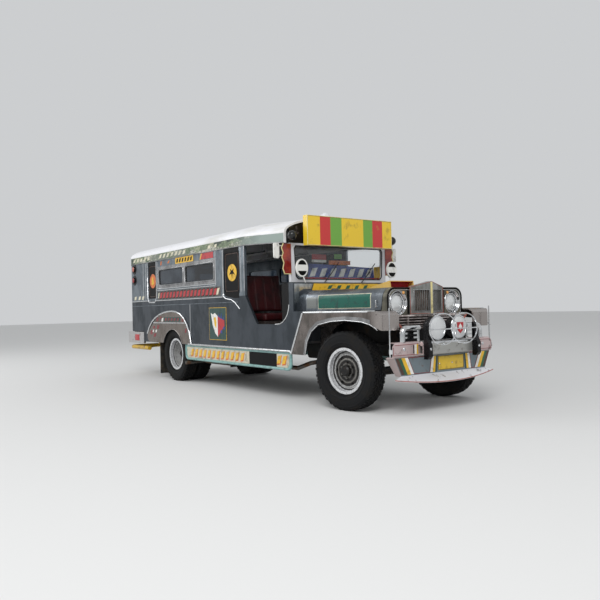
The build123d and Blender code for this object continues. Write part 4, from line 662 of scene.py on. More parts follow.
# Tail
# Two round lamps a side in black recesses, amber over red, and a polished box bumper.
# Below it hang a yellow step tube and black rubber flaps.
def split_paint(name, axis, at, below, above, metallic=(0.3, 0.3), rough=0.35, worn=0.18):
    """Two finishes on one piece, changed where a coordinate's size passes a value."""
    material, tree, shader = new_material(name, below)
    over = maths(tree, "GREATER_THAN", maths(tree, "ABSOLUTE", object_axis(tree, axis)), at)
    weather(tree, shader, blend(tree, over, below, above), "#6B625E", 70, worn, (rough, rough + 0.2), 0.2)
    tree.links.new(remap(tree, over, 0, 1, *metallic), shader.inputs["Metallic"])
    return material


paint_nodes(split_paint("polished_bumper_and_yellow_step", "Z", 0.475, "#C9A12C", "#C6C4C3", (0.0, 0.85)),
            "rear_bumper")
lamp_black = enamel("lamp_recess_paint", "#08080A", "panel_black", coat=0.0, specular=0.25)
paint_nodes(lamp_black, "tail_lamps")
paint_nodes(weathered("cut_rubber_flap", "#191817", "#40382E", 90, 0.6, (0.75, 0.95), 0.6), "mud_flaps")


def add_lathed(bm, profile, steps, place, facing, closed=True):
    """Adds a spun profile at a place ahead of the front axle, turned to face along an axis."""
    single = bmesh.new()
    lathe(single, profile, steps, closed)
    x, y, z = place
    turn = Vector((0, 1, 0)).rotation_difference(Vector(facing)).to_matrix().to_4x4()
    add_turned(bm, single, Matrix.Translation((ahead(x), y, z)) @ turn)


def lens(name, places, colour, radius, depth, facing, slot, ribs=7):
    """Round moulded lenses with concentric ribs, domed towards facing."""
    material = weathered(name, colour, darker(colour, 0.7), 25, 0.4, (0.08, 0.25), slot=slot, coat=0.3)
    bm = bmesh.new()
    profile = []
    for index in range(ribs * 2 + 1):
        share = index / (ribs * 2)
        rib = depth * 0.05 if index % 2 else 0
        profile.append((radius * share, depth * sqrt(max(0, 1 - share ** 2)) * 0.8 + depth * 0.2 + rib))
    for place in places:
        add_lathed(bm, profile + [(radius, 0), (0, 0)], 32, place, facing, closed=False)
    return finish_mesh(name, bm, material, smooth=60)


for side, word in ((-1, "right"), (1, "left")):
    for name, z, colour in (("amber", 1.670, "#B0604F"), ("red", 1.493, "#8A171B")):
        lens(f"{name}_tail_lens_{word}", [(-5.09, side * 0.815, z)], colour, 0.040, 0.010, (0, side, 0), "lamp_red")
side_plates("tail_lamp_recess", [oval(-5.075, z, 0.078, 0.080) for z in (1.668, 1.493)], lamp_black, thick=0.004)
side_plates("rear_reflectors", [box(-5.10, -4.93, 0.54, 0.635)], red, thick=0.004, bevel=0.0015)


# Scuttle and bonnet
# The scuttle carries a yellow sign-painted band under the screen, beside bare polished steel.
# The bonnet has a yellow air scoop, red inside, blank green plates and a chrome catch on each side.
def front_plates(name, shapes, material, x, thick=0.0015, bevel=0.0):
    """Plates on a face that looks forward, from outlines in Y and Z at X ahead of the front axle."""
    plates = [([(x, y, z) for y, z in shape], (thick, 0, 0)) for shape in shapes]
    return extruded(name, plates, material, bevel=bevel)


def bars(name, lines, radius, material=chrome, body="body"):
    """Round bars along lines of points in the vehicle's own frame, with X ahead of the front axle."""
    bm = bmesh.new()
    for line in lines:
        round_bar(bm, line, radius)
    return finish_mesh(name, bm, material, body, 50)


def mirrored(*lines):
    """Lines or outlines on both sides. The last two numbers of each point are Y and Z."""
    return [[(*point[:-2], side * point[-2], point[-1]) for point in line] for side in (-1, 1) for line in lines]


SCUTTLE_FACE = -0.735
front_plates("scuttle_band", [((-0.545, 1.180), (-0.52, 1.252), (0.42, 1.252), (0.44, 1.180))], yellow,
             SCUTTLE_FACE, 0.002)
front_plates("scuttle_band_figures", row((-0.30, 1.214), 0.13, 5, 0.035, 0.022, 0.004), green,
             SCUTTLE_FACE + 0.002, 0.001)
bars("screen_seal", [((-0.898, -0.735, 1.264), (-0.898, 0.735, 1.264))], 0.010, rubber)
scuttle_polish = steel("polished_scuttle_corner", "#B4B8BA", "#82888B", (0.1, 0.25), 0.9, 90, "polished")
front_plates("scuttle_corners", [
    [(side * y, z) for y, z in ((0.782, 1.05), (0.72, 1.05), (0.72, 1.165), (0.66, 1.195), (end, 1.195), (top, 1.250),
                                (0.782, 1.250))]
    for side, end, top in ((-1, 0.560, 0.535), (1, 0.45, 0.43))], scuttle_polish, SCUTTLE_FACE)


BONNET_REAR, BONNET_HALF, BONNET_TAPER = -0.640, 0.705, 0.1858
SHOULDER_Z, SHOULDER_RADIUS = 1.072, 0.10


def bonnet_skin(x, z, side, out):
    """A point on the bonnet's side, or out from it, at X ahead of the front axle and a height."""
    half = BONNET_HALF - (x - BONNET_REAR) * BONNET_TAPER
    rise = max(0.0, z - SHOULDER_Z)
    inward = SHOULDER_RADIUS - sqrt(SHOULDER_RADIUS ** 2 - min(rise, 0.099) ** 2)
    return ahead(x), side * (half - inward + out), z


def bonnet_sheets(name, x0, x1, heights, material, out):
    """Thin sheets on both sides of the bonnet that follow its rounded shoulder."""
    bm = bmesh.new()
    for side in (-1, 1):
        for low, high in zip(heights, heights[1:]):
            bm.faces.new([bm.verts.new(bonnet_skin(x, z, side, out)) for x, z in box(x0, x1, low, high)])
    bmesh.ops.remove_doubles(bm, verts=bm.verts, dist=1e-5)
    bmesh.ops.solidify(bm, geom=bm.faces[:], thickness=0.001)
    return finish_mesh(name, bm, material, "bonnet", smooth=40)


SHOULDER = [SHOULDER_Z + 0.042 * index / 5 for index in range(6)]
plate_green = enamel("green_sign_plate", "#0F5A4C", "aqua_paint", "#0B423B", (0.25, 0.4))
bonnet_sheets("bonnet_plate_edges", -0.472, 0.192, [0.976] + SHOULDER + [1.119], cream, 0.0015)
bonnet_sheets("bonnet_plates", -0.465, 0.185, [0.982] + SHOULDER, plate_green, 0.003)
turned_steel, tree, shader = new_material("engine_turned_stainless", "#9A9C9A", "polished", 0.9, 0.3)
swirls = object_space(tree, Scale=(36, 0, 36))
cells = add_node(tree, "ShaderNodeTexVoronoi", {"Vector": swirls, "Scale": 1, "Randomness": 0.0})
tone = ramp_of(tree, cells.outputs["Distance"],
               ((0.0, "#C2C4C2"), (0.35, "#5C605E"), (0.55, "#A9ACAA"), (0.75, "#4E5250")))
tree.links.new(tone, shader.inputs["Base Color"])
bonnet_sheets("bonnet_turned_patches", -0.625, -0.49, [0.985, 1.072, 1.088, 1.098], turned_steel, 0.0015)
bars("bonnet_catches", mirrored([(0.262, 0.5374 + out, z) for z, out in (
    (1.045, 0.0), (1.043, 0.016), (0.985, 0.016), (0.980, 0.002))]), 0.006, body="bonnet")

tree = hood_steel.node_tree
mask = maths(tree, "MULTIPLY", maths(tree, "GREATER_THAN", object_axis(tree, "Z"), 1.1785),
             maths(tree, "GREATER_THAN", object_axis(tree, "X"), ahead(-0.60)))
repaint(hood_steel, mask, "#D9B25A")
tree.links.new(remap(tree, mask, 0, 1, 0.7, 0.0), tree.nodes["Principled BSDF"].inputs["Metallic"])
SCOOP_HALF = 0.1575
scoop_sides = (((-0.004, 1.183), (0.011, 1.229), (0.001, 0, 0)),
               ((-0.002, 1.1825), (0.072, 1.1805), (0, 0, 0.001)),
               ((0.012, 1.2285), (0.073, 1.2385), (0, 0, -0.001)))
extruded("scoop_lining", [([(rear, -SCOOP_HALF, low), (rear, SCOOP_HALF, low), (front, SCOOP_HALF, high),
                            (front, -SCOOP_HALF, high)], depth) for (rear, low), (front, high), depth in scoop_sides],
         red, "bonnet", smooth=None)
bars("bonnet_top_strip", [((-0.62, 0, 1.1775), (-0.335, 0, 1.1735))], 0.006, body="bonnet")


# Nose and grille shell
# The nose housings are dark olive-grey steel with a black moulding round them and a chrome bowl for each lamp.
# The V-shaped shell has fine red lines, a cream ridge strip and brown louvres behind its bars.
NOSE_FACE = 0.387
HEADLAMP_Y, HEADLAMP_Z = 0.383, 1.020
nose_steel, tree, shader = new_material("nose_housing_steel", "#5E5C52")
flat = add_node(tree, "ShaderNodeCombineXYZ", {"X": maths(tree, "ABSOLUTE", object_axis(tree, "Y")),
                                               "Y": object_axis(tree, "Z")}).outputs[0]
reach = add_node(tree, "ShaderNodeVectorMath", {0: flat, 1: (HEADLAMP_Y, HEADLAMP_Z, 0)}, operation="DISTANCE")
in_bowl = maths(tree, "LESS_THAN", reach.outputs["Value"], 0.1135)
tone = ramp_of(tree, noise_of(tree, object_space(tree), 9, 4),
               ((0.3, "#46453C"), (0.55, "#6A685C"), (0.75, "#8B877A")))
tree.links.new(blend(tree, in_bowl, tone, "#C8C9CA"), shader.inputs["Base Color"])
tree.links.new(remap(tree, in_bowl, 0, 1, 0.55, 1.0), shader.inputs["Metallic"])
tree.links.new(remap(tree, in_bowl, 0, 1, 0.38, 0.12), shader.inputs["Roughness"])
paint_nodes(nose_steel, "nose_panel")


def nose_line(inset):
    """The edge of one nose housing, from the wing up over its shoulder to the shell."""
    bend = [radians(angle) for angle in range(15, 91, 15)]
    return ([(0.525 - inset, 0.905), (0.525 - inset, 1.07)]
            + [(0.430 + (0.095 - inset) * cos(turn), 1.07 + (0.095 - inset) * sin(turn)) for turn in bend]
            + [(0.235, 1.165 - inset)])


bars("nose_outline", mirrored([(0.389, y, z) for y, z in nose_line(0.006)]), 0.009, black)
bars("nose_inner_line", mirrored([(0.388, y, z) for y, z in nose_line(0.022)]), 0.004)
front_plates("nose_inner_panels", mirrored(((0.236, 0.912), (0.262, 0.912), (0.262, 1.150), (0.236, 1.155))), black,
             NOSE_FACE)


SHELL_RIDGE, SHELL_SWEEP = 0.465, 0.2802


def shell_line(points, out=0.001):
    """A line of Y and Z on the V-shaped face of the shell, in the vehicle's own frame."""
    return [(SHELL_RIDGE - SHELL_SWEEP * abs(y) + out, y, z) for y, z in points]


faded_red = enamel("faded_red_line_paint", "#A8584A", "red_acrylic")
bars("shell_red_lines", mirrored(shell_line(((0.232, 0.905), (0.232, 1.168), (0.012, 1.219))),
                                 shell_line(((0.228, 0.912), (0.03, 0.912)))), 0.0022, faded_red)
ridge_cream = enamel("cream_ridge_paint", "#D6C98F", "sign_yellow")
ridge = mirrored(shell_line(((0.0, 0.903), (0.013, 0.903), (0.013, 1.214), (0.0, 1.219)), 0.0005))
extruded("shell_ridge_strip", [(strip, (0.003, 0, 0)) for strip in ridge], ridge_cream, smooth=None)
louvre_paint = enamel("brown_louvre_paint", "#A08E84", "stainless", "#5C4C45", (0.5, 0.7), share=0.4)
grille_gap_painted_shade = enamel("dark_grille_gap_painted_shade", "#332927", "panel_black", rough=(0.6, 0.8), coat=0.0,
                       specular=0.2)
louvres = mirrored(*[[shell_line([(y, 0.941 + index * 0.0122 + rise)], back)[0] for y, back, rise in (
    (0.026, -0.024, 0), (0.026, -0.013, 0.009), (0.188, -0.013, 0.009), (0.188, -0.024, 0))] for index in range(17)])
extruded("shell_louvres", [(louvre, (0.001, 0, 0.0015)) for louvre in louvres], louvre_paint, smooth=30)
bars("shell_opening_trims", mirrored(shell_line((*box(0.022, 0.192, 0.936, 1.142), (0.022, 0.936)))), 0.004,
     edge_steel)
front_plates("shell_foot_bar", [box(-0.235, 0.235, 0.899, 0.911)], bright_steel, 0.468, 0.004, bevel=0.002)


# Lamps at the nose
# Seven-inch sealed lamps with ribbed glass in chrome rims, and small amber lamps above them.
# The ribs stand upright, and the glass is painted brighter between them as a painted highlight.
def rings(name, places, material=chrome, facing=(1, 0, 0), steps=40, sides=10):
    """Round wire rings that face along an axis. Each has a centre, a radius and its wire's radius."""
    bm = bmesh.new()
    turns = [2 * pi * i / sides for i in range(sides)]
    for centre, radius, wire in places:
        add_lathed(bm, [(radius + wire * cos(turn), wire * sin(turn)) for turn in turns], steps, centre, facing)
    return finish_mesh(name, bm, material, smooth=60)


def ribbed(tree, scale, distortion, stops):
    """The ribs of pressed glass across the vehicle: their height, and a tone of painted highlight that follows it."""
    height = add_node(tree, "ShaderNodeTexWave", {"Vector": object_space(tree), "Scale": scale,
                                                  "Distortion": distortion}, bands_direction="Y").outputs["Fac"]
    return height, ramp_of(tree, height, stops)


lamp_glass, tree, shader = new_material("ribbed_lamp_glass_painted_highlight", "#D9DCDD", None, 0.35, 0.08, 0.8)
ribs, tone = ribbed(tree, 32, 1.5, ((0.0, "#B9BEC0"), (0.5, "#E4E6E6"), (1.0, "#F2F3F2")))
# The glass is painted in light and darker bands with its ribs, as a painted highlight.
tree.links.new(tone, shader.inputs["Base Color"])
relief(tree, shader, ribs, 0.3, 0.001)
paint_nodes(lamp_glass, "headlamps")
rings("headlamp_rims", [((x, side * HEADLAMP_Y, HEADLAMP_Z), radius, wire) for side in (-1, 1)
                        for x, radius, wire in ((0.372, 0.085, 0.006), (0.389, 0.113, 0.004))])
lens("amber_nose_lamps", [(NOSE_FACE, side * 0.312, 1.115) for side in (-1, 1)], "#E0A45C", 0.016, 0.014, (1, 0, 0),
     "lens", ribs=3)


# Slatted lower grille
# Pressed slats between two painted edges, bright on top, over a dark brown sheet of painted shade in their gaps.
# They close the front between the wings, under the shell.
slat_paint = steel("pinkish_slat_steel", "#E4DAD7", "#A89C98", (0.25, 0.4), 0.6, 70, "polished")
paint_nodes(slat_paint, "lower_grille")
bars("grille_slant_edges", mirrored(((0.452, 0.521, 0.895), (0.452, 0.400, 0.772))), 0.009, faded_red)
bars("grille_top_bar", [((0.450, -0.515, 0.893), (0.450, 0.515, 0.893))], 0.010, slat_paint)
# A dark brown sheet behind the slats stands in for the shade in their gaps, as painted shade.
front_plates("grille_backing", [((-0.492, 0.882), (0.492, 0.882), (0.392, 0.784), (-0.392, 0.784))], grille_gap_painted_shade,
             0.412, 0.001)


# Bumper
# Steel channel painted pinkish silver with hand-painted stripes and red edge lines.
# Black uprights carry polished tubes, round driving lamps and their wire hoops.
BUMPER_FACE = 0.618
paint_nodes(split_paint("pinkish_bumper_paint", "Y", 0.345, "#ADADA9", "#C2AFAE", (0.6, 0.35)), "bumper_bar")
front_plates("bumper_slits", mirrored(box(0.425, 0.436, 0.553, 0.630)), black, BUMPER_FACE, 0.001)
front_plates("bumper_white_stripes", mirrored(box(0.392, 0.418, 0.546, 0.636)), white, BUMPER_FACE)
front_plates("bumper_yellow_stripes", mirrored(box(0.3735, 0.392, 0.546, 0.636)), yellow, BUMPER_FACE)
bars("bumper_red_lines", mirrored(*[[(BUMPER_FACE, y, z) for y, z in line] for line in (
    ((0.690, 0.546), (0.374, 0.544)), ((0.672, 0.637), (0.374, 0.640)), ((0.688, 0.548), (0.686, 0.620)))]), 0.0025,
     dark_red)


def bolt_heads(name, places, radius):
    """Domed chrome bolt heads on washers, facing forward."""
    bm = bmesh.new()
    profile = [(0, 0), (radius * 1.45, 0), (radius * 1.45, 0.002), (radius, 0.002), (radius * 0.95, 0.006),
               (radius * 0.6, 0.009), (0, 0.0105)]
    for place in places:
        add_lathed(bm, profile, 20, place, (1, 0, 0), closed=False)
    return finish_mesh(name, bm, chrome, smooth=40)


bolt_heads("bumper_bolts", [(BUMPER_FACE, side * 0.552, 0.598) for side in (-1, 1)], 0.012)
paint_nodes(enamel("gloss_black_upright_paint", "#060608", None, rough=(0.25, 0.4), coat=0.0, specular=0.25),
            "overriders")
bolt_heads("overrider_bolts", [(0.7435, side * 0.34, 0.592) for side in (-1, 1)], 0.009)
bars("channel_tube", [((0.660, -0.368, 0.639), (0.660, 0.368, 0.639))], 0.0205)
lamp_shell, tree, shader = new_material("driving_lamp_enamel_and_glass_painted_highlight", "#1A1A1C", roughness=0.25)
glassy = maths(tree, "GREATER_THAN", object_axis(tree, "X"), ahead(0.6572))
# The glass front is painted in light and darker bands with its ribs, as a painted highlight.
tone = ribbed(tree, 26, 2.0, ((0.0, "#AEB2B6"), (0.5, "#D8DADB"), (1.0, "#F0F0EE")))[1]
tree.links.new(blend(tree, glassy, "#1B1B1D", tone), shader.inputs["Base Color"])
paint_nodes(lamp_shell, "driving_lamps")
rings("driving_lamp_rims", [((0.658, side * 0.151, 0.778), 0.107, 0.008) for side in (-1, 1)], steps=56)
front_plates("lamp_shield_red", [((0.103, 0.822), (0.199, 0.822), (0.190, 0.748), (0.151, 0.715), (0.112, 0.748))],
             red, 0.6765, 0.001)
front_plates("lamp_shield_white", [((0.151, 0.810), (0.177, 0.780), (0.151, 0.748), (0.125, 0.780))], white, 0.6775,
             0.0008)


# Apron
# Sheet apron under the bumper with painted diagonals, a blank yellow plate and a silver lip.
# The lip bows forward in the middle and has a faded red edge.
apron_paint = split_paint("grey_apron_and_silver_lip", "Z", 0.356, "#E4E4E8", "#717D83", (0.3, 0.3))
tree = apron_paint.node_tree
repaint(apron_paint, maths(tree, "LESS_THAN", object_axis(tree, "X"), ahead(0.6045)), "#B7A8A6")
paint_nodes(apron_paint, "valance")
LIP_BOW, LIP_TILT = 3.091, radians(40)
lip_edge = []
for step in range(29):
    y = -0.686 + 0.049 * step
    reach = sqrt(LIP_BOW ** 2 - y ** 2) - 2.973
    lip_edge.append((0.602 + reach * cos(LIP_TILT), y, 0.354 - reach * sin(LIP_TILT)))
bars("lip_red_edge", [lip_edge], 0.004, faded_red)
APRON_FACE = 0.612
for word, top, low, width, paint, thick, slot in (("dark", 0.660, 0.586, 0.039, brown, 0.001, "black_paint"),
                                                  ("green", 0.622, 0.547, 0.036, green, 0.0015, None),
                                                  ("yellow", 0.586, 0.511, 0.044, yellow, 0.0015, None),
                                                  ("white", 0.542, 0.467, 0.040, white, 0.0015, None)):
    slanted = ((top, 0.5185), (top - width, 0.5185), (low - width, 0.366), (low, 0.366))
    front_plates(f"apron_{word}_diagonals", mirrored(slanted), paint, APRON_FACE, thick)
for word, paint, stripes in (
        ("white", white, ((-0.189, -0.157, -0.182, -0.216), (0.320, 0.352, 0.372, 0.338))),
        ("yellow", yellow, ((-0.157, -0.128, -0.148, -0.182), (0.290, 0.320, 0.338, 0.306))),
        ("dark", dark_green, ((-0.128, -0.112, -0.124, -0.148), (0.272, 0.290, 0.306, 0.284)))):
    front_plates(f"apron_stripes_{word}", [list(zip(ys, (0.514, 0.514, 0.366, 0.366))) for ys in stripes], paint,
                 APRON_FACE)
bars("apron_red_lines", [[(0.613, y, z) for y, z in zip(ys, (0.517, 0.367, 0.367, 0.517, 0.517))] for ys in (
    (-0.500, -0.425, -0.218, -0.192, -0.500), (0.500, 0.425, 0.375, 0.354, 0.500))], 0.003, dark_red)
plate_yellow = enamel("blank_plate_yellow", "#D8B42E", "sign_yellow", "#A98A2A", (0.3, 0.45))
front_plates("blank_number_plate", [box(-0.106, 0.262, 0.376, 0.510)], plate_yellow, 0.6135, 0.002, bevel=0.0008)
bars("number_plate_edge", [[(0.616, y, z) for y, z in (*box(-0.102, 0.258, 0.380, 0.506), (-0.102, 0.380))]], 0.0018,
     black)
bolt_heads("number_plate_bolts", [(0.6155, y, 0.440) for y in (-0.09, 0.09)], 0.006)


# Screen
# A white-painted frame holds flat glass in a black rubber channel, with two wipers.
# Painted boards in plain colours stand behind the glass, over the dashboard.
# Above 1.70 m the frame is painted near black as painted shade under the roof.
paint_nodes(split_paint("white_screen_frame_paint_and_painted_shade", "Z", 1.70, "#D6D7DB", "#110F0F", (0.0, 0.0), 0.4, 0.0),
            "screen_frame")
paint_nodes(window_glass, "screen_glass")
bars("screen_gasket", [[(-0.899, y, z) for y, z in (
    (-0.600, 1.309), (0.600, 1.309), (0.634, 1.340), (0.651, 1.640), (0.630, 1.670), (-0.630, 1.670), (-0.651, 1.640),
    (-0.634, 1.340), (-0.600, 1.309), (-0.590, 1.309))]], 0.006, rubber)
BOARD_X = -0.935
front_plates("screen_board_blue", [((-0.45, 1.312), (0.545, 1.312), (0.532, 1.450), (-0.43, 1.485))], blue, BOARD_X,
             0.003)
front_plates("screen_board_figures", [lozenge(y, 1.388, 0.050, 0.052, 0.010)
                                      for y in (-0.37, -0.23, -0.09, 0.05, 0.19, 0.33, 0.46)], white,
             BOARD_X + 0.003, 0.001)
front_plates("screen_board_red", [box(-0.52, 0.640, 1.309, 1.330)], red, BOARD_X + 0.004, 0.001)
front_plates("screen_board_orange", [((0.545, 1.330), (0.64, 1.330), (0.635, 1.470), (0.54, 1.460))], yellow, BOARD_X,
             0.003)
for word, sides, paint in (("yellow", (-0.147, 0.173, 1.478, 1.526), orange),
                           ("red", (-0.388, -0.184, 1.530, 1.590), red),
                           ("white", (-0.388, -0.184, 1.500, 1.528), white),
                           ("green", (-0.066, 0.043, 1.545, 1.600), bright_green)):
    front_plates("screen_plate_" + word, [box(*sides)], paint, BOARD_X, 0.003)
bars("wipers", [((-0.884, 0.30, 1.275), (-0.884, 0.44, 1.40)), ((-0.886, 0.36, 1.33), (-0.886, 0.52, 1.50)),
                ((-0.884, -0.25, 1.275), (-0.884, -0.13, 1.40)), ((-0.886, -0.19, 1.33), (-0.886, -0.04, 1.50))],
     0.005, rubber)
dash_paint = weathered("dashboard_crackle_paint", "#2A2422", "#3B332F", 40, 0.4, (0.5, 0.7), 0.3, "dash_paint")
paint_nodes(dash_paint, "dashboard")
rings("dial_rims", [((-1.127, y, 1.185), radius, 0.004) for y, radius in (
    (0.34, 0.055), (0.22, 0.035), (0.46, 0.035), (0.14, 0.022))], facing=(-1, 0, 0), steps=28)
paint_nodes(weathered("moulded_steering_wheel_plastic", "#161617", "#2B2926", 30, 0.4, (0.35, 0.6), 0.15),
            "steering_wheel")


# Sign, roof lamps, mirrors and wind wings
# The sign box has broad painted stripes. Round lamps sit beside it and on the roof.
# The mirrors are white, and the wavy wind wings are dark red acrylic with a cream edge.
sign_paint, tree, shader = new_material("striped_sign_enamel", "#E3C32C", coat=0.3)
stripes = ramp_of(tree, remap(tree, object_axis(tree, "Y"), -0.62, 0.62), (
    (0.0, "#E6C22B"), (0.140, "#C4312E"), (0.256, "#6BA33C"), (0.385, "#E6C22B"), (0.643, "#6BA33C"),
    (0.756, "#C4312E"), (0.882, "#E6C22B")), steps=True)
weather(tree, shader, stripes, "#B79A2E", 150, 0.12, (0.3, 0.45))
paint_nodes(sign_paint, "sign_board")
bars("sign_edge", [[(-0.698, y, z) for y, z in (*box(-0.617, 0.617, 1.665, 1.981), (-0.617, 1.665))]], 0.004,
     enamel("sign_edge_paint", "#D9C98A", "sign_yellow"))
paint_nodes(split_paint("roof_lamp_enamel", "Y", 0.5, "#DADCE0", "#161717", (0.0, 0.0), 0.2), "roof_lamps")
paint_nodes(white, "mirrors")
segments = [[(y, z) for y, z in oval(side * 0.662, 1.42, 0.062, 0.082, 60) if low - 0.001 <= z <= high + 0.001]
            for side in (-1, 1) for low, high in ((1.452, 1.51), (1.33, 1.388))]
front_plates("oval_disc_segments", segments, black, -0.745, 0.0012)
paint_nodes(weathered("dark_red_acrylic", "#7A1715", "#A03A1E", 120, 0.5, (0.08, 0.25), coat=0.5), "wind_wings")
bars("wind_wing_edges", mirrored([(-0.8905, y, z) for y, z in (
    (0.700, 1.362), (0.790, 1.362), (0.812, 1.420), (0.796, 1.480), (0.822, 1.540), (0.804, 1.590), (0.826, 1.640),
    (0.800, 1.690))]), 0.0055, ridge_cream)


# Wings
# Folded wings with a bright rolled bead along the top edge and round the wheel opening.
# A curved skin closes each front corner.
bars("wing_beads", mirrored(((-0.572, 0.788, 0.944), (0.40, 0.788, 0.944), (0.47, 0.765, 0.943)),
                            ((-0.578, 0.7975, 0.942), (-0.797, 0.7975, 0.508))), 0.012)
CORNER_X, CORNER_Y = 0.466, 0.727
turns = [radians(15 + 5 * step) for step in range(13)]
skins = mirrored([(CORNER_X + radius * cos(turn), CORNER_Y + radius * sin(turn), 0.790)
                  for radius, order in ((0.0706, turns), (0.0676, turns[::-1])) for turn in order])
extruded("wing_corner_skins", [(skin, (0, 0, 0.122)) for skin in skins], wing_steel_painted_highlight)
OPENING = ((0.533, 0.775), (0.500, 0.798), (0.441, 0.824), (0.330, 0.850), (0.090, 0.865), (-0.127, 0.854),
           (-0.324, 0.821), (-0.439, 0.751), (-0.513, 0.645), (-0.553, 0.508))
bars("wing_opening_lips", mirrored([(x, 0.795, z) for x, z in OPENING]), 0.005)
band_outer = ((0.44, 0.868), (0.330, 0.890), (0.090, 0.902), (-0.135, 0.889), (-0.345, 0.850), (-0.466, 0.775),
              (-0.542, 0.662), (-0.580, 0.510))
side_plates("wing_opening_bands", [OPENING[2:] + band_outer[::-1]], edge_steel)


# Seats
# Bench and seat cushions of foam under red vinyl, sewn in channels across.
# A short cloth run swells them, and each stays in the space of its seat.
vinyl, tree, shader = new_material("red_seat_vinyl", "#3A1214", "vinyl", specular=0.3)
weather(tree, shader, "#3A1214", "#260D0F", 160, 0.5, (0.4, 0.6))
grain = add_node(tree, "ShaderNodeTexVoronoi", {"Vector": object_space(tree), "Scale": 700},
                 feature="DISTANCE_TO_EDGE").outputs["Distance"]
relief(tree, shader, grain, 0.25, 0.0006)
paint_nodes(vinyl, "benches", "front_seats")


def settle(piece):
    """Applies every modifier of a piece to its mesh."""
    bpy.context.view_layer.update()
    mesh = bpy.data.meshes.new_from_object(piece.evaluated_get(bpy.context.evaluated_depsgraph_get()))
    piece.modifiers.clear()
    piece.data = mesh


def padded(name, low, high, voxel, cap, channels, slopes=(0.0, 0.0)):
    """A foam pad in a cover: swollen by cloth pressure, then sewn in channels. Fills low to high."""
    shrink = 0.35 * cap
    size = [b - a - 2 * shrink for a, b in zip(low, high)]
    middle = Vector([(a + b) / 2 for a, b in zip(low, high)])
    bm = bmesh.new()
    bmesh.ops.create_cube(bm, size=1, matrix=Matrix.Translation(middle) @ Matrix.Diagonal((*size, 1)))
    rounded(bm, min(size) * 0.22, 3)
    pad = finish_mesh(name, bm, vinyl)
    pad.modifiers.new("even", "REMESH").voxel_size = voxel
    settle(pad)
    start = [vert.co.copy() for vert in pad.data.vertices]
    cloth = pad.modifiers.new("swell", "CLOTH").settings
    cloth.use_pressure = True
    cloth.uniform_pressure_force = 4
    cloth.effector_weights.gravity = 0
    for number in range(1, 21):
        bpy.context.scene.frame_set(number)
    settle(pad)
    bpy.context.scene.frame_set(1)
    for vert, before in zip(pad.data.vertices, start):
        move = vert.co - before
        if move.length > cap:
            move *= cap / move.length
        vert.co = Vector([min(max(c, a), b) for c, a, b in zip(before + move, low, high)])
    pad.modifiers.new("finer", "SUBSURF").levels = 1
    settle(pad)
    thin = min(range(3), key=lambda axis: high[axis] - low[axis])
    along = 0 if high[0] - low[0] > 1 else 1
    pitch = (high[along] - low[along]) / channels
    for vert in pad.data.vertices:
        place = (vert.co[along] - low[along]) / pitch
        near = abs(place - round(place)) * pitch
        if 0 < round(place) < channels:
            depth = SEAM_DEPTH * max(0.0, 1 - (near / (voxel * 0.9)) ** 2)
            toward = middle[thin] - vert.co[thin]
            vert.co[thin] += depth * (1 if toward > 0 else -1)
        forward = (vert.co.x - low[0]) / (high[0] - low[0])
        vert.co.x += (slopes[0] + (slopes[1] - slopes[0]) * forward) * (vert.co.z - low[2])
    pad.data.shade_smooth()
    return pad


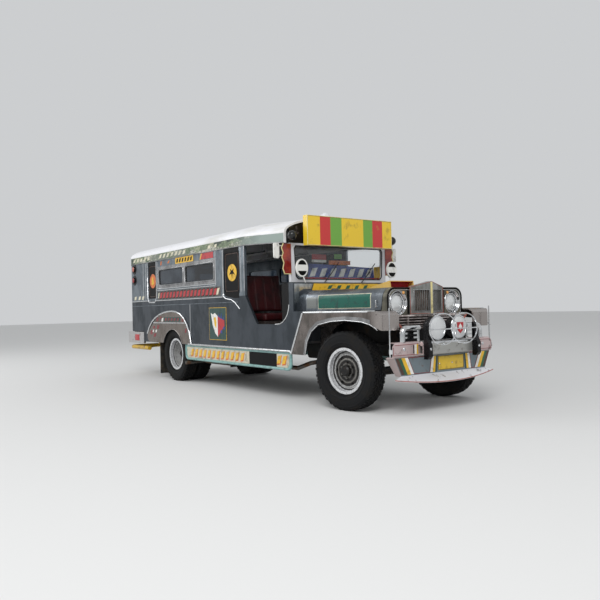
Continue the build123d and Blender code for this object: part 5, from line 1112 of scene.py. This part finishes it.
SEAM_DEPTH = 0.007
seat_frames = bmesh.new()
for kind, ends, parts, voxel, channels in (
        ("bench", (-4.949, -2.001), (("cushion", (0.386, 0.765), (0.9855, 1.0600), 0.012, 0.7),
                                     ("back", (0.713, 0.7655), (1.101, 1.369), 0.010, 0.6)), 0.019, 22),
        ("front", (-1.899, -1.431), (("cushion", (0.171, 0.699), (0.851, 0.939), 0.014, 0.7),
                                     ("back", (0.171, 0.699), (0.945, 1.418), 0.014, 0.7)), 0.012, 4)):
    for side, word in ((-1, "right"), (1, "left")):
        for part, ys, heights, cap, fill in parts:
            leaning = kind == "front" and part == "back"
            rear, front = (-1.898, -1.798) if leaning else ends
            y0, y1 = sorted(side * y for y in ys)
            low, high = heights
            pad = padded(f"{kind}_{part}_{word}", (ahead(rear), y0, low), (ahead(front), y1, high), voxel, cap,
                         channels, (-0.10, -0.157) if leaning else (0.0, 0.0))
            if word == "right" and part == "cushion":
                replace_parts(pad, "benches" if kind == "bench" else "front_seats")
for side in (-1, 1):
    base = Matrix.Translation((ahead(-1.655), side * 0.435, 0.747)) @ Matrix.Diagonal((0.39, 0.49, 0.206, 1))
    bmesh.ops.create_cube(seat_frames, size=1, matrix=base)
rounded(seat_frames, 0.006)
finish_mesh("front_seat_boxes", seat_frames, dash_paint, smooth=40)


# Camera, floor and light
# A pale floor under an overcast sky, seen from the photograph's low three-quarter angle.
# Two large area lamps soften the shadows.
camera_data = bpy.data.cameras.new("camera")
camera_data.sensor_width = 36
camera_data.lens = 38.253
camera_data.shift_x = 0.005
camera_data.shift_y = -0.0008
camera = bpy.data.objects.new("camera", camera_data)
right, forward = Vector((0.588, 0.809, -0.023)), Vector((-0.809, 0.588, 0.014)).normalized()
right = (right - right.dot(forward) * forward).normalized()
up = right.cross(forward)
turn = Matrix((right, up, -forward)).transposed()
camera.matrix_world = Matrix.Translation((ahead(4.703), -4.701, 0.988)) @ turn.to_4x4()
bpy.context.scene.collection.objects.link(camera)
bpy.context.scene.camera = camera

floor_paint, tree, shader = new_material("pale_floor", "#D9D9D8", roughness=0.9)
bm = bmesh.new()
bmesh.ops.create_grid(bm, x_segments=1, y_segments=1, size=60)
finish_mesh("floor", bm, floor_paint, body=None)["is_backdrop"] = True

world = bpy.data.worlds.new("studio")
bpy.context.scene.world = world
world.use_nodes = True
background = world.node_tree.nodes["Background"]
background.inputs["Color"].default_value = linear("#E8EAEC")
background.inputs["Strength"].default_value = 0.75
for name, place, aim, size, power in (("key_light", (9, -8, 9), (0, 0, 0.8), 6, 900),
                                      ("fill_light", (-7, -8, 6), (0, 0, 0.8), 7, 350)):
    data = bpy.data.lights.new(name, "AREA")
    data.size = size
    data.energy = power
    lamp = bpy.data.objects.new(name, data)
    lamp.location = place
    lamp.rotation_euler = (Vector(aim) - Vector(place)).to_track_quat("-Z", "Y").to_euler()
    bpy.context.scene.collection.objects.link(lamp)
bpy.context.scene.view_settings.view_transform = "Standard"

low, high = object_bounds()
